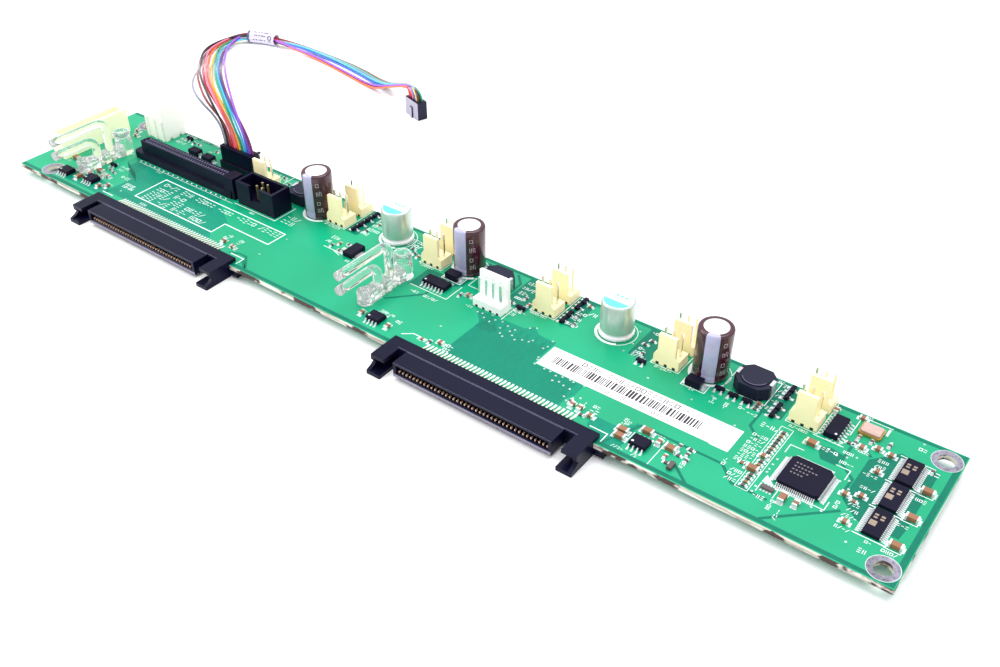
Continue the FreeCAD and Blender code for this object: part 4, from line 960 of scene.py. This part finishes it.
for x, y, turn in TRANSISTORS:
    bodies.moulded(x, y, 0.1, 2.9, 1.3, 1.0, 0.1, 0, 0.04, turn)
    transistor_leg(x, y, turn - 90, -0.95)
    transistor_leg(x, y, turn - 90, 0.95)
    transistor_leg(x, y, turn + 90, 0)
bodies.done(replaces="transistor_bodies", slot="chip_plastic")
for turn in (0, 90, 180, 270):
    lead_row(*CONTROLLER, turn, 20, 0.5, 5.5, 6.6, 0.24, 0.8)
for x, y in DRIVERS:
    for turn in (0, 180):
        lead_row(x, y, turn, 14, 0.65, 2.2, 3.2, 0.28, 0.6)
for x, y, turn, length, count in LOGIC:
    for side in (90, 270):
        lead_row(x, y, turn + side, count, 1.27, 1.95, 3.0, 0.42, 0.85)
for across in (-2.3, 0, 2.3):
    lead(legs, 137.0, REGULATOR_Y, 180, across, 1.8, 3.6, 0.8, 0.9, 0.25)
    pad(133.2, REGULATOR_Y - across, 2.4, 1.3)
legs.box(139.2, REGULATOR_Y, 0.05, 1.6, 3.1, 0.3)
pad(139.9, REGULATOR_Y, 2.6, 3.7)
legs.done(slot="tinned_metal")
for x, y in ((171.0, 36.3), (254.6, 35.6), (45.6, 42.2), (53.4, 41.6)):
    for side in (-1, 1):
        pad(x + side * 2.6, y, 1.6, 2.4)
pads.done(slot="tinned_metal")

# Painted shade in the notches at the foot of the pale headers
notches = Piece("header_notch_shade", SHADE)
for x, y in [(x, y) for y in (37.5, 45.76) for x in FAN_X] + [(78.7, 39.9)]:
    for place in spaced(x + 3.91, 3, FAN_PITCH):
        notches.box(place, y + 0.01, 0.02, 0.95, 0.06, 0.8)
for place in spaced(189.45, 4, FAN_PITCH):
    notches.box(place, 28.91, 0.02, 0.9, 0.06, 0.7)
notches.done(slot="cream_plastic")

# Ribs in the long connector painted lighter as a painted highlight, painted highlights on the edges and
# lower lip of the drive connectors, and their curled contact tips
# The ribs are the black moulding painted lighter: painted highlight
ribs = Piece("long_connector_ribs", plastic("rib_plastic", (112, 110, 142), 0.4, gloss=0.3))
for y in (29.95, 31.85):
    for x in spaced(55.3, 33, CONTACT_PITCH):
        ribs.box(x, y, 4.6, 0.4, 0.83, 2.68)
ribs.done(slot="black_plastic")
# Painted highlights: lighter strips of the black moulding where its edges, chamfer and lower lip catch the
# light
EDGE_HIGHLIGHT = plastic("worn_edge", (118, 116, 140), 0.4, relief=0.2, gloss=0.3)
LIP_HIGHLIGHT = plastic("lip_grey", (132, 126, 146), 0.35, spread=0.12, relief=0.2, gloss=0.3)
edge_highlights = Piece("drive_connector_highlights", EDGE_HIGHLIGHT, LIP_HIGHLIGHT)
for centre in DRIVE_X:
    edge_highlights.box(centre, -1.62, 1.68, 52.4, 0.1, 0.04)
    edge_highlights.box(centre, -7.46, 1.68, 52.4, 0.06, 0.03)
    edge_highlights.box(centre, -7.5, -2.96, 52.6, 0.03, 0.94, 1)
    edge_highlights.box(centre, -7.47, -2.06, 50.8, 0.03, 0.07)
    edge_highlights.box(centre, -0.9, 1.28, 60.0, 0.08, 0.04)
edge_highlights.done(slot="black_plastic")
TIP = plastic("contact_tip", (236, 196, 168), 0.3, edge=0.02, metallic=0.5)
tips = Piece("drive_contact_tips", TIP)
for centre in DRIVE_X:
    for x in spaced(centre, CONTACTS, CONTACT_PITCH):
        tips.box(x, -6.5, -1.6, 0.36, 0.7, 0.62)
tips.done(slot="plated_pins")

# Cans: each profile is radius and height, from the foot to the top
SLEEVE = plastic("can_sleeve", (62, 18, 34), 0.22, grain=2000, relief=0.05, coat=0.3)
STRIPE = plastic("can_stripe", (176, 172, 206), 0.3, spread=0.04, grain=2000, relief=0.05, coat=0.4)
CAN_TOP = plastic("can_top", (246, 242, 248), 0.3, spread=0.03, grain=2500, metallic=0.3)
SCORE = plastic("can_score", (196, 178, 190), 0.5, spread=0.05, grain=2500)
CAN_CASE = plastic("can_case", (196, 210, 202), 0.3, spread=0.04, grain=2500, relief=0.05, metallic=0.55)
CYAN = plastic("can_segment", (96, 226, 222), 0.5, spread=0.04, grain=2500, relief=0.05)
CAN_SIDES = 72
CAN_SLEEVE = (
    (4.6, 0.05), (4.96, 0.5), (4.96, 2.0), (4.72, 2.5), (4.98, 3.0), (4.98, 15.3), (4.75, 15.85),
    (4.3, 15.97), (3.5, 15.9),
)
CAN_LID = ((3.52, 15.8), (3.5, 15.9), (3.2, 15.92), (0.01, 15.92))
BARE_SIDES = 64
BARE_FOOT = ((4.9, 0.05), (5.2, 0.3), (5.25, 0.9), (5.1, 1.25), (4.75, 1.45), (4.7, 1.8), (4.95, 2.1))
BARE_CASE = ((4.95, 2.1), (4.95, 10.9), (4.8, 11.35), (4.5, 11.48))
BARE_TOP = ((4.5, 11.48), (4.35, 11.5), (0.01, 11.5))
for number, (x, y, first, last) in enumerate(CANS, 1):
    can = Piece(f"can_{number}", SLEEVE, STRIPE, CAN_TOP, SCORE)

    def in_stripe(i, first=first, last=last):
        angle = (i + 0.5) / CAN_SIDES * 360
        return 1 if first < (angle - 360 if angle > 180 else angle) < last else 0

    can.drum(x, y, CAN_SLEEVE, CAN_SIDES, kind_of=in_stripe)
    can.drum(x, y, CAN_LID, CAN_SIDES, 2)
    for angle in (20, 140, 260):
        can.line(((x, y), spin(x, y, angle, 2.6, 0)), 0.14, 15.935, 3)
    # Plain frames on the stripe, and plain frames and ticks on the rest of the sleeve
    middle = (first + last) / 2
    for level in (3.6, 11.0):
        for side, low, high in ((0, 0, 0.16), (0, 2.6, 2.76), (-5, 0, 2.6), (5, 0, 2.6)):
            half = 1 if side else 5
            can.patch(x, y, 5.0, middle + side - half, middle + side + half, level + low, level + high, 3)
    for turn in (14, 110, 206):
        start = last + turn
        for level in (12.2, 5.6):
            for left, right, low, high in (
                (0, 12, 0, 0.14), (0, 12, 1.1, 1.24), (0, 1.5, 0, 1.1), (10.5, 12, 0, 1.1)
            ):
                can.patch(x, y, 4.99, start + left, start + right, level + low, level + high, 3)
        for level in (9.0, 2.9):
            for k in range(4):
                left, bar = start + k * 6, level + 0.75 * (k % 3)
                can.patch(x, y, 4.99, left, left + 1.6, level, level + 1.5, 3)
                can.patch(x, y, 4.99, left, left + 4, bar, bar + 0.14, 3)
    can.done(replaces=f"electrolytic_can_{number}", slot="brown_sleeve")
for number, (x, y) in enumerate(BARE_CANS, 1):
    can = Piece(f"bare_can_{number}", CAN_CASE, CAN_TOP, CYAN)
    can.drum(x, y, BARE_FOOT, BARE_SIDES, 1, caps=False)
    can.drum(x, y, BARE_CASE, BARE_SIDES, 0, caps=False)
    can.drum(x, y, BARE_TOP, BARE_SIDES, 1)
    can.flat([spin(x, y, angle, 4.3, 0) for angle in range(-165, -14, 5)], 11.506, 2)
    for k in range(3):
        can.box(x - 1.4 + k * 1.5, y + 1.6, 11.503, 0.8, 0.9, 0.006, 2)
    can.done(replaces=f"polymer_can_{number}", slot="can_metal")

# Rings on the inductors: one in the ferrite's colour, and a painted highlight along the front of the rim
COIL_RING_Z = 4.306
coils = Piece("inductor_rings", FERRITE, EDGE_HIGHLIGHT)
for x, y in COILS:
    coils.arc(x, y, 3.75, 3.95, 0, 360, COIL_RING_Z, 0, 64)
    # Painted highlight on the front of the rim
    coils.arc(x, y, 3.6, 3.74, -150, -20, COIL_RING_Z, 1)
coils.done(slot="ferrite")

# Label print: one row of bars, and rows of plain marks
LABEL_Z = 0.098
LABEL_INK = plastic("label_ink", (44, 34, 46), 0.6)
LABEL_TINT = plastic("label_tint", (222, 244, 244), 0.5, spread=0.03)
label = Piece("label_print", LABEL_INK, LABEL_TINT)
x = 218.2
while x < 264.0:
    width = SPOTS.choice((0.24, 0.3, 0.5, 0.7))
    label.box(x + width / 2, 21.9, LABEL_Z, width, 3.2, 0.008)
    x += width + SPOTS.choice((0.22, 0.3, 0.5))
# Left and right end of each row, its middle and the marks' height
for x, right, y, size in (
    (226.0, 231.6, 24.9, 1.9), (234.4, 256.4, 24.9, 1.9), (258.0, 259.4, 24.9, 1.9),
    (229.0, 257.0, 18.9, 1.3),
):
    while x < right:
        draw_marks(label, LABEL_Z + 0.008, x, y - size / 2, 1, size)
        x += size * 0.9
label.box(271.3, 21.95, LABEL_Z, 5.1, 9.2, 0.006, 1)
label.done(slot="label_paper")


# Light pipes: smooth clear mouldings over the lamps
def hoop(centre, side, up, radius, count):
    angles = [math.tau * k / count for k in range(count)]
    return [tuple(centre + (side * math.cos(angle) + up * math.sin(angle)) * radius) for angle in angles]


def tube(piece, path, radius):
    side = Vector((1, 0, 0))
    rings = []
    for i, point in enumerate(path):
        along = Vector(path[min(i + 1, len(path) - 1)]) - Vector(path[max(i - 1, 0)])
        rings.append(hoop(Vector(point), side, along.normalized().cross(side), radius, 28))
    piece.loft(rings, smooth=True)


PIPE_RADIUS = 1.48
PIPE_BEND = 3.2
PIPE_FOOT = ((2.4, 0.02), (2.45, 0.2), (2.45, 4.0), (2.2, 4.28), (1.5, 4.28), (1.3, 3.4), (0.01, 3.2))
PIPE_POST = (
    (2.95, 0.02), (3.0, 0.2), (3.0, 5.3), (2.8, 5.6), (2.38, 5.65), (2.38, 6.55), (2.8, 6.6), (3.0, 6.9),
    (3.0, 8.2), (2.75, 8.48), (1.3, 8.48), (1.1, 7.4), (0.01, 7.2),
)
for name, x in (("left", 23.5), ("right", 158.0)):
    pipe = Piece(f"clear_pipe_{name}", CLEAR)
    # Front end of each arm, its height and the place of its rear leg
    for front, height, leg in ((0.5, 14.7, 22.0), (0.3, 9.8, 16.7)):
        bend_y, bend_z = leg - PIPE_BEND, height - PIPE_BEND
        path = [(x, front + 0.02, height), (x, front + 4, height), (x, bend_y, height)]
        for k in range(1, 9):
            angle = math.pi / 2 * k / 8
            path.append((x, bend_y + PIPE_BEND * math.sin(angle), bend_z + PIPE_BEND * math.cos(angle)))
        path.append((x, leg, 1.9))
        tube(pipe, path, PIPE_RADIUS)
    pipe.drum(x, 10.8, PIPE_FOOT, 40)
    pipe.drum(x, 28.0, PIPE_POST, 40)
    pipe.box(x - 0.9, 19.4, 1.7, 2.6, 17.0, 1.75)
    for y, depth in ((13.4, 4.6), (19.35, 2.2), (25.2, 3.2)):
        pipe.box(x + 0.1, y, 0.02, 4.2, depth, 3.4)
    pipe.done(replaces=f"light_pipe_{name}", slot="clear_plastic")

# Sleeve: painted shadow at the mouth that the wires come out of
MOUTH_SHADE = plastic("sleeve_shadow", (78, 86, 124), 0.6)
mouth = Piece("sleeve_mouth", MOUTH_SHADE)
mouth_axis = Vector((-10.0, -4.8, 0)).normalized()
mouth_side = Vector((-mouth_axis.y, mouth_axis.x, 0)).normalized()
mouth_rings = []
for radius, shift in ((2.0, 0), (2.72, 0), (2.72, 0.9), (2.0, 0.9), (2.0, 0)):
    middle = SLEEVE_MIDDLE + mouth_axis * (6.3 + shift)
    mouth_rings.append(hoop(middle, mouth_side, mouth_axis.cross(mouth_side), radius, 32))
mouth.loft(mouth_rings, caps=False)
mouth.done(slot="sleeve_white")

# Sleeve print: plain marks on the bent tube, placed by the way along it and the turn from its top
SLEEVE_INK = plastic("sleeve_ink", (66, 60, 72), 0.6)
SLEEVE_BEND = 36.1
SLEEVE_HEADING = math.radians(17.75)
PRINT_RADIUS = 2.79
BEND_CENTRE = Vector((-7.4, 101.6, SLEEVE_FLOOR))
sleeve_print = Piece("sleeve_print", SLEEVE_INK)


def sleeve_point(along, turn):
    heading = SLEEVE_HEADING - along / SLEEVE_BEND
    side = Vector((math.sin(heading), -math.cos(heading), 0))
    around = side * math.sin(math.radians(turn)) + Vector((0, 0, math.cos(math.radians(turn))))
    return tuple(BEND_CENTRE - side * SLEEVE_BEND + around * PRINT_RADIUS)


def sleeve_patch(first, last, low, high):
    turns = [low + (high - low) * k / 3 for k in range(4)]
    for a, b in zip(turns, turns[1:]):
        corners = ((first, a), (last, a), (last, b), (first, b))
        sleeve_print.face([sleeve_point(*corner) for corner in corners])


for turn, first, last in ((10, -4.2, 4.0), (47, -3.7, 2.2), (88, -4.2, 2.2)):
    along = first
    while along < last:
        sleeve_patch(along, along + 0.34, turn, turn + 9)
        sleeve_patch(along + 0.34, along + 0.6, turn + SPOTS.choice((0, 6)), turn + 9)
        along += SPOTS.choice((0.8, 0.8, 1.4))
# A plain circle and a dash
for k in range(16):
    a, b = math.tau * k / 16, math.tau * (k + 1) / 16
    ends = ((0.75, a), (1.1, a), (1.1, b), (0.75, b))
    sleeve_print.face([sleeve_point(4.4 + r * math.cos(t), 62 + r * 20 * math.sin(t)) for r, t in ends])
sleeve_patch(3.5, 5.3, 94, 99)
sleeve_print.done(slot="sleeve_white")

# Stage: pale floor, white surroundings and soft lights
floor_shader = Shader("floor")
floor_tones = floor_shader.tones(floor_shader.noise(3, 2), (250, 250, 252), (255, 255, 255))
floor_shader.put({"Base Color": floor_tones, "Roughness": 0.9, "Specular IOR Level": 0.1})
floor_mesh = bpy.data.meshes.new("floor")
floor_mesh.from_pydata([(-3, -3, 0), (3, -3, 0), (3, 3, 0), (-3, 3, 0)], [], [(0, 1, 2, 3)])
floor_mesh.materials.append(floor_shader.material)
floor = bpy.data.objects.new("floor", floor_mesh)
floor.location = (0, 0, -0.00002)
scene.collection.objects.link(floor)

world = bpy.data.worlds.new("world")
world.use_nodes = True
world.node_tree.nodes["Background"].inputs["Color"].default_value = (0.97, 0.98, 1.0, 1.0)
world.node_tree.nodes["Background"].inputs["Strength"].default_value = 1.0
scene.world = world


def area_light(name, place, target, size, power):
    data = bpy.data.lights.new(name, "AREA")
    data.shape = "RECTANGLE"
    data.size, data.size_y = size
    data.energy = power
    light = bpy.data.objects.new(name, data)
    light.location = place
    light.rotation_euler = (Vector(target) - Vector(place)).to_track_quat("-Z", "Y").to_euler()
    scene.collection.objects.link(light)


area_light("top", (0.0, 0.25, 0.9), (0, 0, 0), (0.9, 0.7), 7.0)
area_light("left", (-0.7, -0.3, 0.5), (-0.1, 0, 0), (0.5, 0.5), 4.0)

scene.view_settings.view_transform = "Standard"
scene.view_settings.look = "None"
scene.view_settings.exposure = 0.0
